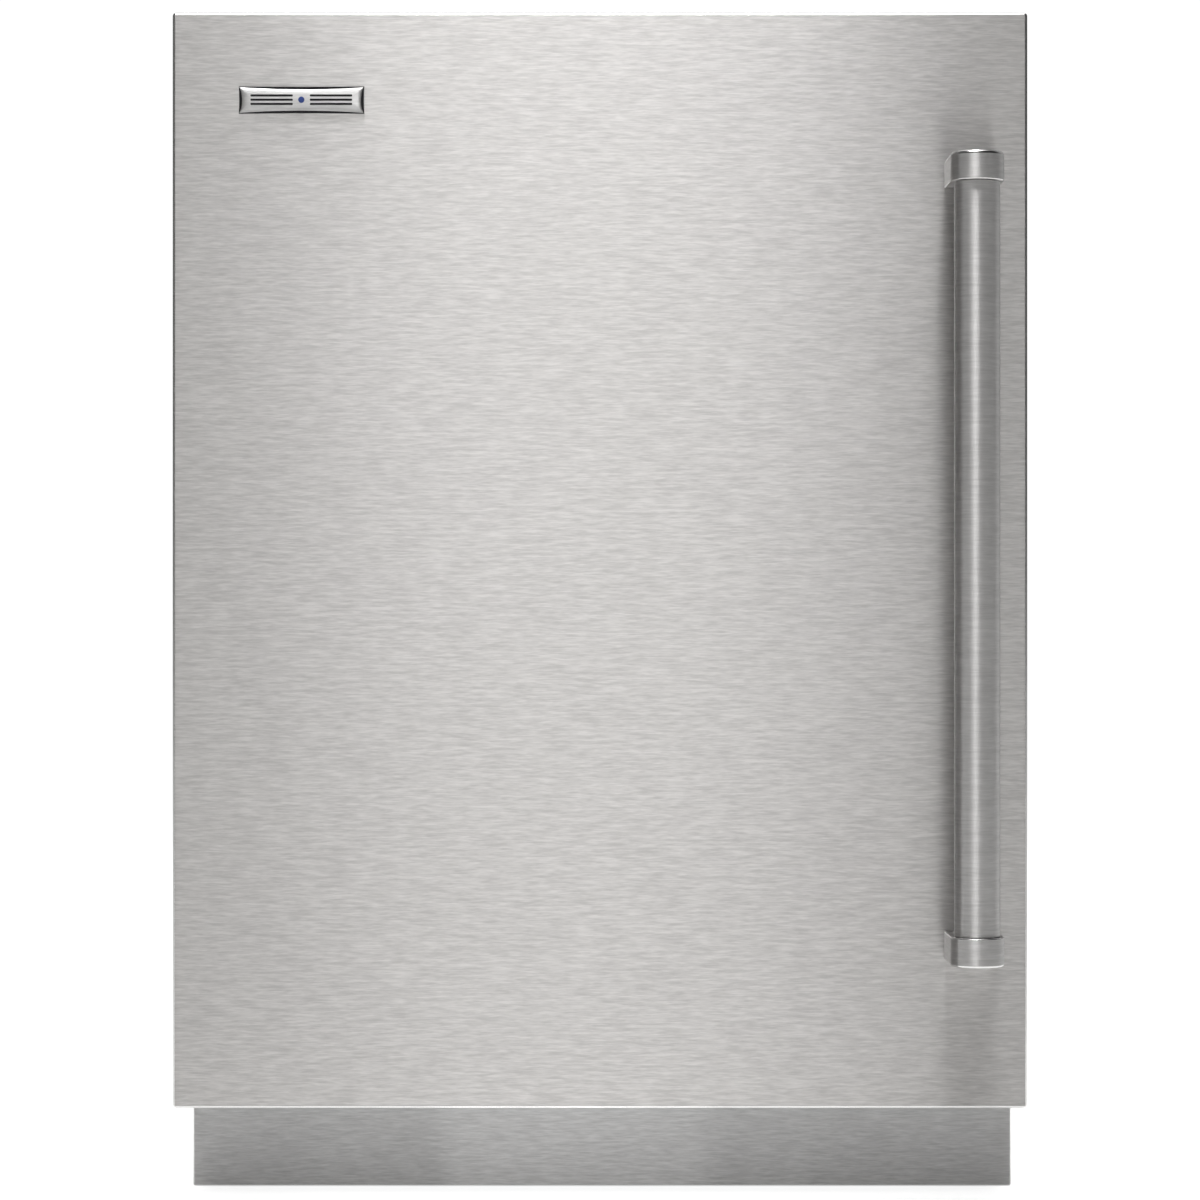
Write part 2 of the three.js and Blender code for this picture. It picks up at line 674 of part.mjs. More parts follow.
// A flanged sleeve whose flange sits on the door's end face; up is 1 at the top, -1 at the foot.
function hingeBush(face, up) {
  const span = (from, to) => [face + up * from, face + up * to].sort((a, b) => a - b);
  const sleeve = rodZ(BUSH_R, HINGE_X, HINGE_Y, span(-PIN_REACH - 1, 1));
  const flange = rodZ(9, HINGE_X, HINGE_Y, span(GAP, 2));
  const bore = rodZ(PIN_R + GAP, HINGE_X, HINGE_Y, span(-40, 20));
  return geometryOf(joined([sleeve, flange]).subtract(solidOf(bore)));
}

add(cabinet, "top_hinge_bracket", topHingeBracket(), STAINLESS);
add(cabinet, "top_hinge_pin", topHingePin(), ZINC);
add(cabinet, "bottom_hinge_bracket", bottomHingeBracket(), STAINLESS);

// ---- door --------------------------------------------------------------------------------------
const door = movingGroup(HINGE_X, HINGE_Y, 0);
const HALF_DOOR = DOOR_WIDTH / 2;

// A sheet pan that is open towards the back.
function pan(x, y, z, sheet) {
  const inside = ([low, high]) => [low + sheet, high - sheet];
  return [block(x, y, z), block(inside(x), [y[0] + sheet, y[1] + 5], inside(z))];
}

function doorPanel() {
  const [body, hollow] = pan(
    [-HALF_DOOR, HALF_DOOR],
    [DOOR_FRONT, PANEL_BACK],
    [DOOR_BOTTOM, DOOR_TOP],
    SKIN,
  );
  return cut(body, [hollow]);
}

function panelCore() {
  const x = HALF_DOOR - SKIN - GAP;
  const z = [DOOR_BOTTOM + SKIN + GAP, DOOR_TOP - SKIN - GAP];
  return block([-x, x], [DOOR_FRONT + SKIN + GAP, PANEL_BACK], z);
}

const CASE = 1; // inner door case thickness
const CASE_Y = [PANEL_BACK + GAP, INNER_DOOR_BACK - LINER - GAP];
const bushSeats = () =>
  [INNER_DOOR_TOP, INNER_DOOR_BOTTOM].map((face) =>
    rodZ(BUSH_R + GAP, HINGE_X, HINGE_Y, [face - PIN_REACH - 3, face + PIN_REACH + 3]),
  );

function innerDoorCase() {
  const z = [INNER_DOOR_BOTTOM, INNER_DOOR_TOP];
  const [body, hollow] = pan([-INNER_DOOR_X, INNER_DOOR_X], CASE_Y, z, CASE);
  return cut(body, [hollow, ...bushSeats()]);
}

function doorFoam() {
  const margin = CASE + GAP;
  const x = INNER_DOOR_X - margin;
  const z = [INNER_DOOR_BOTTOM + margin, INNER_DOOR_TOP - margin];
  return cut(block([-x, x], [CASE_Y[0] + margin, CASE_Y[1]], z), bushSeats());
}

function doorLiner() {
  const z = [INNER_DOOR_BOTTOM, INNER_DOOR_TOP];
  const plate = block(
    [-INNER_DOOR_X, INNER_DOOR_X],
    [INNER_DOOR_BACK - LINER, INNER_DOOR_BACK],
    z,
  );
  const rim = block(
    [-DYKE_X, DYKE_X],
    [INNER_DOOR_BACK - 1, DYKE_BACK],
    [DYKE_BOTTOM, DYKE_TOP],
  );
  const pocketX = DYKE_X - DYKE_WIDTH;
  const pocket = block(
    [-pocketX, pocketX],
    [INNER_DOOR_BACK, DYKE_BACK + 5],
    [DYKE_BOTTOM + DYKE_WIDTH, DYKE_TOP - DYKE_WIDTH],
  );
  return geometryOf(joined([plate, rim]).subtract(solidOf(pocket)));
}

const SEAL = { x: 278, z: [110, 822], width: 18 };

function doorGasket() {
  const y = [INNER_DOOR_BACK + GAP, CABINET_FRONT - GAP];
  const inner = SEAL.x - SEAL.width;
  const hole = block(
    [-inner, inner],
    [y[0] - 5, y[1] + 5],
    [SEAL.z[0] + SEAL.width, SEAL.z[1] - SEAL.width],
  );
  return cut(block([-SEAL.x, SEAL.x], y, SEAL.z), [hole]);
}

// A handle standoff: round at the front about the bar's axis, straight back to the door.
function handleBracket(z0) {
  const foot = DOOR_FRONT - GAP;
  const outline = new THREE.Shape();
  outline.moveTo(HANDLE_X - BRACKET_R, foot);
  outline.lineTo(HANDLE_X - BRACKET_R, HANDLE_Y);
  outline.absarc(HANDLE_X, HANDLE_Y, BRACKET_R, Math.PI, 2 * Math.PI);
  outline.lineTo(HANDLE_X + BRACKET_R, foot);
  return prismZ(outline, [z0, z0 + BRACKET_HEIGHT]);
}

const BADGE = { x: -211.3, z: 791.6, width: 88.8, height: 19.2, depth: 3.2 };

function badge() {
  const x = [BADGE.x - BADGE.width / 2, BADGE.x + BADGE.width / 2];
  const z = [BADGE.z - BADGE.height / 2, BADGE.z + BADGE.height / 2];
  return block(x, [DOOR_FRONT - GAP - BADGE.depth, DOOR_FRONT - GAP], z);
}

const BIN = { x: DYKE_X - DYKE_WIDTH - 0.5, y: [INNER_DOOR_BACK + GAP, -125], wall: 3 };
const BINS = {
  door_bin_lower: [318, 415],
  door_bin_middle: [470, 550],
  door_bin_upper: [620, 700],
};

function doorBin(z) {
  const { x, y, wall } = BIN;
  const hollow = block([wall - x, x - wall], [y[0] + wall, y[1] - wall], [z[0] + wall, z[1] + 5]);
  return cut(block([-x, x], y, z), [hollow]);
}

add(door, "door_panel", doorPanel(), STAINLESS);
add(door, "panel_core", panelCore(), FOAM);
add(door, "inner_door_case", innerDoorCase(), STAINLESS);
add(door, "door_foam", doorFoam(), FOAM);
add(door, "door_liner", doorLiner(), WHITE_PLASTIC);
add(door, "door_gasket", doorGasket(), GASKET);
add(door, "badge", badge(), STAINLESS);
add(door, "handle_bracket_top", handleBracket(HANDLE_TOP - BRACKET_HEIGHT), STAINLESS);
add(door, "handle_bracket_bottom", handleBracket(HANDLE_BOTTOM), STAINLESS);
const barEnds = [
  HANDLE_BOTTOM + BRACKET_HEIGHT + GAP,
  HANDLE_TOP - BRACKET_HEIGHT - GAP,
];
add(door, "handle_bar", rodZ(HANDLE_R, HANDLE_X, HANDLE_Y, barEnds, 48), STAINLESS);
for (const [name, z] of Object.entries(BINS)) {
  add(door, name, doorBin(z), CLEAR_PLASTIC);
}
add(door, "top_hinge_bush", hingeBush(INNER_DOOR_TOP, 1), BLACK_PLASTIC);
add(door, "bottom_hinge_bush", hingeBush(INNER_DOOR_BOTTOM, -1), BLACK_PLASTIC);

export default refrigerator;
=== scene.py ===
"""Undercounter refrigerator: the looks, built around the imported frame.

Every place comes from the frame's boxes. Shapes are made in millimetres, and mesh_of turns them
into metres; materials, lights and the camera are in metres. The front faces -Y, X runs to the
handle side and Z is up.
"""

import math

import bmesh
import bpy
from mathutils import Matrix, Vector


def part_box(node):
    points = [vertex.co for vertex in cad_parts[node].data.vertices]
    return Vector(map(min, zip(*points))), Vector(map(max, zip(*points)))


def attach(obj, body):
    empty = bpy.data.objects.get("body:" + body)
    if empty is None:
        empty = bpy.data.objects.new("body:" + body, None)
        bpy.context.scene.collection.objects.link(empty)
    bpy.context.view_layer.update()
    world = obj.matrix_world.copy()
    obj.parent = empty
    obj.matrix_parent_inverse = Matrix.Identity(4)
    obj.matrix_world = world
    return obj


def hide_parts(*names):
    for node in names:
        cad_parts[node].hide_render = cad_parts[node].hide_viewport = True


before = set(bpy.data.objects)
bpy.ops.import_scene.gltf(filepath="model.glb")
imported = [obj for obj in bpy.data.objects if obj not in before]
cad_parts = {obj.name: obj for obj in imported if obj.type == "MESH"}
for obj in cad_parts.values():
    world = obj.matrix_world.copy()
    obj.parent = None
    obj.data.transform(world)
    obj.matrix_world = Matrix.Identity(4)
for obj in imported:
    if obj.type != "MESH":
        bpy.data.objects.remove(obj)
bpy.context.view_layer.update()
MM = 0.001
MERGE = 0.005 * MM  # points nearer than this are one point
PLANES = {"xz": (0, 2, 1), "xy": (0, 1, 2), "yz": (1, 2, 0)}


# ---- shapes ------------------------------------------------------------------------------------
def box(name):
    """A CAD node's lowest and highest corners, in millimetres."""
    return [Vector(corner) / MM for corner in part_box(name)]


def place(plane, u, v, w):
    """The point at (u, v) in a plane that stands at w along the plane's normal."""
    point = [0.0, 0.0, 0.0]
    for axis, value in zip(PLANES[plane], (u, v, w)):
        point[axis] = value
    return Vector(point)


def polar(plane, u, v, radius, turn, w):
    """The point at a distance and an angle from (u, v)."""
    return place(plane, u + radius * math.cos(turn), v + radius * math.sin(turn), w)


def rect_ring(plane, low, high, radius, w, steps=4):
    """A rounded rectangle's outline as a ring of points."""
    radius = max(min(radius, (high[0] - low[0]) / 2.02, (high[1] - low[1]) / 2.02), 0.05)
    centres = (
        (high[0] - radius, high[1] - radius),
        (low[0] + radius, high[1] - radius),
        (low[0] + radius, low[1] + radius),
        (high[0] - radius, low[1] + radius),
    )
    ring = []
    for quarter, (u, v) in enumerate(centres):
        for step in range(steps + 1):
            turn = math.pi / 2 * (quarter + step / steps)
            ring.append(polar(plane, u, v, radius, turn, w))
    return ring


def inset_ring(plane, low, high, radius, inset, w, steps=4):
    """The rounded rectangle moved in by inset, with its corners concentric."""
    inner_low = (low[0] + inset, low[1] + inset)
    inner_high = (high[0] - inset, high[1] - inset)
    return rect_ring(plane, inner_low, inner_high, radius - inset, w, steps)


def eased(edge, steps=5):
    """A rounded edge as (inset, rise) pairs, from the end face to the side."""
    turns = [math.pi / 2 * step / steps for step in range(steps + 1)]
    return [(edge * (1 - math.sin(turn)), edge * (1 - math.cos(turn))) for turn in turns]


def rings_of(plane, low, high, radius, levels, steps=4):
    """Rings of one rounded rectangle, each moved in by an inset and standing at a level."""
    return [inset_ring(plane, low, high, radius, inset, w, steps) for inset, w in levels]


def circle_ring(plane, u, v, radius, w, sides=24):
    return [polar(plane, u, v, radius, 2 * math.pi * i / sides, w) for i in range(sides)]


class Shape:
    """The vertices and faces of one piece."""

    def __init__(self):
        self.points = []
        self.faces = []

    def loft(self, rings, caps=(True, True), loop=False):
        """Skins rings of equal length, and caps the first and last."""
        start = len(self.points)
        count = len(rings[0])
        for ring in rings:
            self.points.extend(ring)
        pairs = list(zip(range(len(rings) - 1), range(1, len(rings))))
        if loop:
            pairs.append((len(rings) - 1, 0))
        for a, b in pairs:
            for i in range(count):
                j = (i + 1) % count
                corners = (a * count + i, a * count + j, b * count + j, b * count + i)
                self.faces.append([start + c for c in corners])
        if caps[0] and not loop:
            self.faces.append([start + i for i in range(count)])
        if caps[1] and not loop:
            last = start + (len(rings) - 1) * count
            self.faces.append([last + i for i in range(count)])
        return self

    def block(self, low, high, edge=0.5, corner=None, plane="xy", steps=2):
        """A box with rounded edges; corner rounds the four edges along the plane's normal."""
        u, v, w = PLANES[plane]
        flat_low, flat_high = (low[u], low[v]), (high[u], high[v])
        edge = min(edge, (high[w] - low[w]) / 2.02)
        corner = edge if corner is None else corner
        rings = []
        for end, sign in ((low[w], 1), (high[w], -1)):
            levels = [(inset, end + sign * rise) for inset, rise in eased(edge, steps)]
            rings += rings_of(plane, flat_low, flat_high, corner, levels[::sign])
        return self.loft(rings)

    def prism(self, plane, outline, low, high):
        """An outline of (u, v) points, extruded along the plane's normal."""
        return self.loft([[place(plane, u, v, w) for u, v in outline] for w in (low, high)])

    def lathe(self, profile, centre, plane="xy", sides=32, loop=False):
        """Turns (radius, height) points about the plane's normal through centre."""
        u, v, w = (centre[i] for i in PLANES[plane])
        rings = [circle_ring(plane, u, v, max(r, 0.02), w + h, sides) for r, h in profile]
        return self.loft(rings, loop=loop)

    def tube(self, path, radius, sides=10, caps=(True, True)):
        """A round tube along a list of points."""
        rings = []
        up = Vector((0, 0, 1))
        path = [Vector(p) for p in path]
        for i, point in enumerate(path):
            ahead = path[min(i + 1, len(path) - 1)] - path[max(i - 1, 0)]
            ahead.normalize()
            side = ahead.cross(up)
            if side.length < 0.2:
                side = ahead.cross(Vector((0, 1, 0)))
            side.normalize()
            up = side.cross(ahead).normalized()
            turns = [2 * math.pi * k / sides for k in range(sides)]
            rings.append([point + radius * (math.cos(t) * side + math.sin(t) * up) for t in turns])
        return self.loft(rings, caps)


def smooth_path(points, steps=8):
    """A Catmull-Rom line through the points."""
    points = [Vector(p) for p in points]
    padded = [2 * points[0] - points[1], *points, 2 * points[-1] - points[-2]]
    line = []
    for i in range(1, len(padded) - 2):
        a, b, c, d = padded[i - 1 : i + 3]
        for step in range(steps):
            t = step / steps
            line.append(
                0.5
                * (
                    2 * b
                    + (c - a) * t
                    + (2 * a - 5 * b + 4 * c - d) * t * t
                    + (3 * b - a - 3 * c + d) * t * t * t
                )
            )
    return [*line, points[-1]]


def arc(radius, start, end, steps, centre=(0.0, 0.0)):
    """Points on a circle, from one angle to another, in degrees."""
    turns = [math.radians(start + (end - start) * i / steps) for i in range(steps + 1)]
    return [(centre[0] + radius * math.cos(t), centre[1] + radius * math.sin(t)) for t in turns]


def mesh_of(name, shape):
    mesh = bpy.data.meshes.new(name)
    mesh.from_pydata([tuple(p * MM) for p in shape.points], [], shape.faces)
    work = bmesh.new()
    work.from_mesh(mesh)
    bmesh.ops.remove_doubles(work, verts=work.verts, dist=MERGE)
    bmesh.ops.dissolve_degenerate(work, edges=work.edges, dist=MERGE)
    bmesh.ops.recalc_face_normals(work, faces=work.faces)
    work.to_mesh(mesh)
    work.free()
    return mesh


def carve(piece, cutter):
    """Cuts a shape out of a piece, for good."""
    tool = bpy.data.objects.new("cutter", mesh_of("cutter", cutter))
    bpy.context.scene.collection.objects.link(tool)
    cut = piece.modifiers.new("cut", "BOOLEAN")
    cut.operation = "DIFFERENCE"
    cut.solver = "EXACT"
    cut.object = tool
    bpy.context.view_layer.update()
    graph = bpy.context.evaluated_depsgraph_get()
    result = bpy.data.meshes.new_from_object(piece.evaluated_get(graph))
    piece.modifiers.remove(cut)
    piece.data = result
    bpy.data.objects.remove(tool)
    shade(piece)


def shade(piece, angle=32):
    piece.data.shade_smooth()
    piece.data.set_sharp_from_angle(angle=math.radians(angle))


def polish_and_highlight_edges(piece, look, axes=(0, 1, 2), flattest=0.985):
    """Gives the narrow rounded edges their own look, a polished steel whose lighter colour is a
    painted highlight: faces that no listed axis is square to.
    """
    piece.data.materials.append(look)
    for face in piece.data.polygons:
        along = max(abs(face.normal[axis]) for axis in axes)
        if 0.12 < along < flattest:
            face.material_index = 1


def ease_edges(piece, width):
    ease = piece.modifiers.new("eased_edges", "BEVEL")
    ease.width = width * MM
    ease.segments = 2
    ease.limit_method = "ANGLE"
    ease.angle_limit = math.radians(40)
    ease.harden_normals = True


def make(name, shape, body, slot, look, *nodes, cuts=None, bevel=0.0):
    """Makes a piece that rides on a body, and stands for the CAD nodes named."""
    piece = bpy.data.objects.new(name, mesh_of(name, shape))
    bpy.context.scene.collection.objects.link(piece)
    piece.data.materials.append(look)
    if cuts:
        carve(piece, cuts)
    shade(piece)
    if bevel:
        ease_edges(piece, bevel)
    even = piece.modifiers.new("even_normals", "WEIGHTED_NORMAL")
    even.keep_sharp = True
    even.weight = 80
    piece.visible_shadow = look not in (SHELF_GLASS, CLEAR_PLASTIC)
    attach(piece, body)
    if nodes:
        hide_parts(*nodes)
    return piece


def finish_node(name, look, bevel=0.3):
    """Gives a CAD node its material and eases its edges."""
    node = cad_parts[name]
    node.data.materials.clear()
    node.data.materials.append(look)
    if bevel:
        ease_edges(node, bevel)


# ---- materials ---------------------------------------------------------------------------------
def add_node(tree, kind, **inputs):
    """Adds a shader node and sets its inputs; their names have _ for each space."""
    node = tree.nodes.new("ShaderNode" + kind)
    for name, value in inputs.items():
        node.inputs[name.replace("_", " ")].default_value = value
    return node


def add_mix(tree, factor, a, b):
    """Mixes two colours by a factor; each is a tuple or a socket."""
    mix = add_node(tree, "Mix")
    mix.data_type = "RGBA"
    tree.links.new(factor, mix.inputs["Factor"])
    for name, color in (("A", a), ("B", b)):
        if isinstance(color, tuple):
            mix.inputs[name].default_value = color
        else:
            tree.links.new(color, mix.inputs[name])
    return mix.outputs["Result"]


def grey(level):
    return (level, level, level, 1.0)


class Look:
    """A procedural material being built around one Principled shader."""

    def __init__(self, name, color, roughness, metallic=0.0, **sockets):
        self.material = bpy.data.materials.new(name)
        self.material.use_nodes = True
        self.tree = self.material.node_tree
        self.links = self.tree.links
        self.shader = self.tree.nodes["Principled BSDF"]
        self.color = (*color, 1.0)
        self.roughness = roughness
        self.set("Base Color", self.color)
        self.set("Roughness", roughness)
        self.set("Metallic", metallic)
        for socket, value in sockets.items():
            self.set(socket.replace("_", " "), value)
        self.bump_from = None
        self.place = add_node(self.tree, "TexCoord").outputs["Object"]

    def set(self, socket, value):
        self.shader.inputs[socket].default_value = value

    def noise(self, scale, detail=3.0, rough=0.5):
        """Noise in the object's own space; scale is features per metre along X, Y and Z."""
        stretch = add_node(self.tree, "Mapping", Scale=scale)
        texture = add_node(self.tree, "TexNoise", Scale=1.0, Detail=detail, Roughness=rough)
        self.links.new(self.place, stretch.inputs["Vector"])
        self.links.new(stretch.outputs["Vector"], texture.inputs["Vector"])
        return texture.outputs["Fac"]

    def spread(self, source, low, high, start=0.3, end=0.7):
        """Maps a value from start..end to low..high."""
        ends = {"From_Min": start, "From_Max": end, "To_Min": low, "To_Max": high}
        span = add_node(self.tree, "MapRange", **ends)
        self.links.new(source, span.inputs["Value"])
        return span.outputs["Result"]

    def add(self, a, b, operation="ADD"):
        total = add_node(self.tree, "Math")
        total.operation = operation
        self.links.new(a, total.inputs[0])
        if isinstance(b, (int, float)):
            total.inputs[1].default_value = b
        else:
            self.links.new(b, total.inputs[1])
        return total.outputs[0]

    def tint(self, factor, other):
        """Mixes the base colour towards another by a factor."""
        mixed = add_mix(self.tree, factor, self.color, (*other, 1.0))
        self.links.new(mixed, self.shader.inputs["Base Color"])
        return self

    def vary_roughness(self, source, swing, start=0.3, end=0.7):
        low = max(self.roughness - swing, 0.01)
        result = self.spread(source, low, self.roughness + swing, start, end)
        self.links.new(result, self.shader.inputs["Roughness"])
        return self

    def bump(self, source, depth, strength=1.0):
        """Raises the surface by up to depth metres where source is high."""
        node = add_node(self.tree, "Bump", Strength=strength, Distance=depth)
        self.links.new(source, node.inputs["Height"])
        if self.bump_from:
            self.links.new(self.bump_from, node.inputs["Normal"])
        self.bump_from = node.outputs["Normal"]
        self.links.new(self.bump_from, self.shader.inputs["Normal"])
        return self

    def across(self, direction, amount):
        """Stretches highlights along a direction of the object, as brushing does."""
        self.set("Anisotropic", amount)
        axis = add_node(self.tree, "CombineXYZ", **dict(zip("XYZ", direction)))
        turn = add_node(self.tree, "VectorTransform")
        turn.vector_type = "VECTOR"
        turn.convert_from = "OBJECT"
        turn.convert_to = "WORLD"
        self.links.new(axis.outputs[0], turn.inputs[0])
        self.links.new(turn.outputs[0], self.shader.inputs["Tangent"])
        return self


def brushed(name, color, roughness, grain, across, shade_swing=0.05, anisotropic=0.75):
    """Brushed metal: short fine scratches; grain holds them per metre along X, Y and Z."""
    look = Look(name, color, roughness, 1.0)
    fine = look.noise(grain, 2.0, 0.6)
    dashes = look.noise([g * 0.42 for g in grain], 2.0)
    clouds = look.noise((4.0, 4.0, 4.0), 2.0)
    lines = look.add(look.add(fine, dashes), 0.5, "MULTIPLY")
    darker = [c * (1 - 5 * shade_swing) for c in color]
    look.tint(look.spread(lines, 0.0, 1.0, 0.36, 0.64), darker)
    worn = look.add(look.add(lines, clouds), 0.5, "MULTIPLY")
    look.vary_roughness(worn, 0.03)
    look.bump(fine, 0.02 * MM, 0.3)
    look.across(across, anisotropic)
    return look.material


def moulded(name, color, roughness, grain=1800, depth=0.03, **sockets):
    """Moulded plastic with a fine grain and slow changes of tone."""
    look = Look(name, color, roughness, 0.0, **sockets)
    clouds = look.noise((9.0, 9.0, 9.0), 3.0)
    look.tint(look.spread(clouds, 0.0, 0.5), [c * 0.88 for c in color])
    look.vary_roughness(clouds, 0.05)
    look.bump(look.noise((grain, grain, grain), 2.0), depth * MM, 0.5)
    return look.material


def zinc_sheet(name):
    """Galvanised sheet: large flat crystals of slightly different brightness."""
    look = Look(name, (0.56, 0.575, 0.585), 0.42, 1.0)
    crystals = add_node(look.tree, "TexVoronoi", Scale=95.0)
    look.links.new(look.place, crystals.inputs["Vector"])
    split = add_node(look.tree, "SeparateColor")
    look.links.new(crystals.outputs["Color"], split.inputs["Color"])
    tone = split.outputs[0]
    clouds = look.noise((7.0, 7.0, 7.0), 4.0)
    look.tint(look.add(look.add(tone, clouds), 0.4, "MULTIPLY"), (0.38, 0.4, 0.42))
    look.vary_roughness(tone, 0.1, 0.0, 1.0)
    look.bump(clouds, 0.05 * MM, 0.3)
    return look.material


def metal(name, color, roughness, flecks=300, swing=0.08):
    """Plain metal with faint handling marks."""
    look = Look(name, color, roughness, 1.0)
    marks = look.noise((flecks, flecks, flecks), 4.0)
    clouds = look.noise((20.0, 20.0, 20.0), 3.0)
    look.tint(look.spread(clouds, 0.0, 0.7), [c * 0.82 for c in color])
    look.vary_roughness(marks, swing)
    look.bump(marks, 0.02 * MM, 0.3)
    return look.material


def enamel(name, color, roughness):
    """Sprayed enamel with orange peel."""
    look = Look(name, color, roughness, 0.0, Coat_Weight=0.4, Coat_Roughness=0.12)
    peel = look.noise((420.0, 420.0, 420.0), 1.0)
    dust = look.noise((14.0, 14.0, 14.0), 5.0)
    look.tint(look.spread(dust, 0.0, 0.5, 0.45, 0.8), (0.09, 0.088, 0.083))
    look.vary_roughness(dust, 0.1)
    look.bump(peel, 0.06 * MM, 0.4)
    return look.material


def clear(name, color, roughness, ior):
    """Glass or clear plastic, with the faintest smears."""
    look = Look(name, color, roughness, 0.0, IOR=ior, Transmission_Weight=1.0)
    smears = look.noise((18.0, 18.0, 18.0), 4.0)
    look.vary_roughness(smears, roughness * 0.8, 0.4, 0.8)
    look.tint(look.spread(smears, 0.0, 0.3), [c * 0.94 for c in color])
    return look.material


def foam_look(name):
    look = Look(name, (0.74, 0.6, 0.3), 0.9)
    cells = look.noise((900.0, 900.0, 900.0), 2.0)
    look.tint(look.spread(cells, 0.0, 1.0), (0.55, 0.42, 0.18))
    look.bump(cells, 0.3 * MM, 0.7)
    return look.material


def glowing(name, color, strength):
    look = Look(name, color, 0.4, 0.0, Emission_Color=(*color, 1.0), Emission_Strength=strength)
    return look.material


X_GRAIN = (110.0, 900.0, 1100.0)
Y_GRAIN = (900.0, 110.0, 1100.0)
STEEL = (0.64, 0.625, 0.614)
DOOR_STEEL = brushed("door_steel", STEEL, 0.42, X_GRAIN, (0, 0, 1), 0.05, 1.0)
# The kick plate's steel is a little darker than the door's: painted shade for a plate set back
# under the door.
KICK_STEEL_SHADED = brushed("kick_steel_shaded", (0.62, 0.614, 0.61), 0.45, X_GRAIN, (0, 0, 1), 0.05, 0.95)
SIDE_STEEL = brushed("side_steel", (0.55, 0.545, 0.54), 0.4, Y_GRAIN, (0, 0, 1), anisotropic=0.5)
# Edge steel: polished (lower roughness) and lighter in colour than the door's steel; the lighter
# colour is a painted highlight along the rolled edges and rims.
EDGE_STEEL_POLISHED_HIGHLIT = metal("edge_steel_polished_highlit", (0.72, 0.715, 0.71), 0.2, 900, 0.03)
FRAME_STEEL = brushed("frame_steel", (0.58, 0.575, 0.57), 0.42, X_GRAIN, (0, 0, 1), anisotropic=0.6)
TOP_STEEL = brushed("top_steel", (0.55, 0.54, 0.53), 0.4, (110.0, 1100.0, 900.0), (0, 1, 0))
HANDLE_STEEL = brushed(
    "handle_steel", (0.585, 0.576, 0.57), 0.42, (90.0, 90.0, 1000.0), (0, 0, 1), 0.035, 1.0
)
BADGE_STEEL = brushed("badge_steel", (0.64, 0.636, 0.63), 0.43, X_GRAIN, (0, 0, 1), 0.03, 1.0)
BLUE_ENAMEL = enamel("blue_enamel", (0.03, 0.07, 0.3), 0.25)
HINGE_STEEL = metal("hinge_steel", (0.5, 0.495, 0.49), 0.34)
SCREW_STEEL = metal("screw_steel", (0.58, 0.58, 0.58), 0.28, 700)
ALUMINIUM = brushed("satin_aluminium", (0.72, 0.725, 0.73), 0.38, X_GRAIN, (0, 0, 1), 0.03, 0.5)
FIN_ALUMINIUM = metal("fin_aluminium", (0.76, 0.77, 0.78), 0.32, 500)
COPPER = metal("copper", (0.7, 0.36, 0.22), 0.3, 260)
ZINC = zinc_sheet("zinc_sheet")
BLACK_ENAMEL = enamel("black_enamel", (0.014, 0.0145, 0.016), 0.38)
BUTTON_METAL = metal("button_metal", (0.66, 0.665, 0.67), 0.3, 900)
DUCT_PLASTIC = moulded("duct_plastic", (0.7, 0.71, 0.715), 0.4, 700, 0.05)
BLACK_PLASTIC = moulded("black_plastic", (0.02, 0.021, 0.023), 0.46)
LINER_PLASTIC = moulded("liner_plastic", (0.8, 0.815, 0.82), 0.32, 600, 0.04, Coat_Weight=0.15)
GASKET_RUBBER = moulded("gasket_rubber", (0.16, 0.165, 0.17), 0.62, 1200)
DIFFUSER = moulded(
    "diffuser", (0.88, 0.88, 0.86), 0.5, 900, 0.05,
    Emission_Color=(1.0, 0.97, 0.92, 1.0), Emission_Strength=2.5,
)
SHELF_GLASS = clear("shelf_glass", (0.95, 0.985, 0.97), 0.03, 1.5)
CLEAR_PLASTIC = clear("clear_plastic", (0.975, 0.985, 0.99), 0.06, 1.46)
FOAM = foam_look("insulation_foam")
# Near-black: the dark marks on the keys and the badge's lines, and painted shade at the badge's
# flanks.
DARK_INLAY_AND_SHADE = moulded("dark_inlay_and_shade", (0.012, 0.012, 0.014), 0.35, 2500, 0.01)
DISPLAY = moulded("display_window", (0.006, 0.006, 0.008), 0.12, 2500, 0.004)
DIGIT_GLOW = glowing("digit_glow", (0.55, 0.8, 1.0), 3.0)


# ---- camera, lights and floor ------------------------------------------------------------------
CAMERA_DISTANCE = 2.5  # from the door's face
VIEW_WIDTH = 0.85  # of the door's plane, seen in the whole picture
VIEW_HEIGHT_LEVEL = 0.4377  # the camera looks straight at this height


def stage_camera():
    door_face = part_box("door_panel")[0].y
    data = bpy.data.cameras.new("camera")
    data.sensor_width = 36.0
    data.lens = data.sensor_width * CAMERA_DISTANCE / VIEW_WIDTH
    camera = bpy.data.objects.new("camera", data)
    camera.location = (0.0, door_face - CAMERA_DISTANCE, VIEW_HEIGHT_LEVEL)
    camera.rotation_euler = (math.radians(90), 0.0, 0.0)
    bpy.context.scene.collection.objects.link(camera)
    bpy.context.scene.camera = camera


KEY_AT = (-0.01, -0.92, 3.5)  # the main light hangs over the space in front of the door
KEY_LAYERS = ((0.85, 81.0), (1.8, 18.0))  # widths and powers, stacked for soft ends
KEY_DEPTH = 1.2
LEFT_AT = (-0.65, -1.1, 3.2)  # a weaker one beside it moves the pull bar's highlight to the left

BOUNCE_WIDTHS = (0.2, 0.4, 0.6, 0.8)  # light that the floor throws up behind the door's foot
BOUNCE_FROM, BOUNCE_TO = (-0.02, -0.27, 0.006), (-0.02, -0.19, 0.06)
BOUNCE_POWER = 0.065


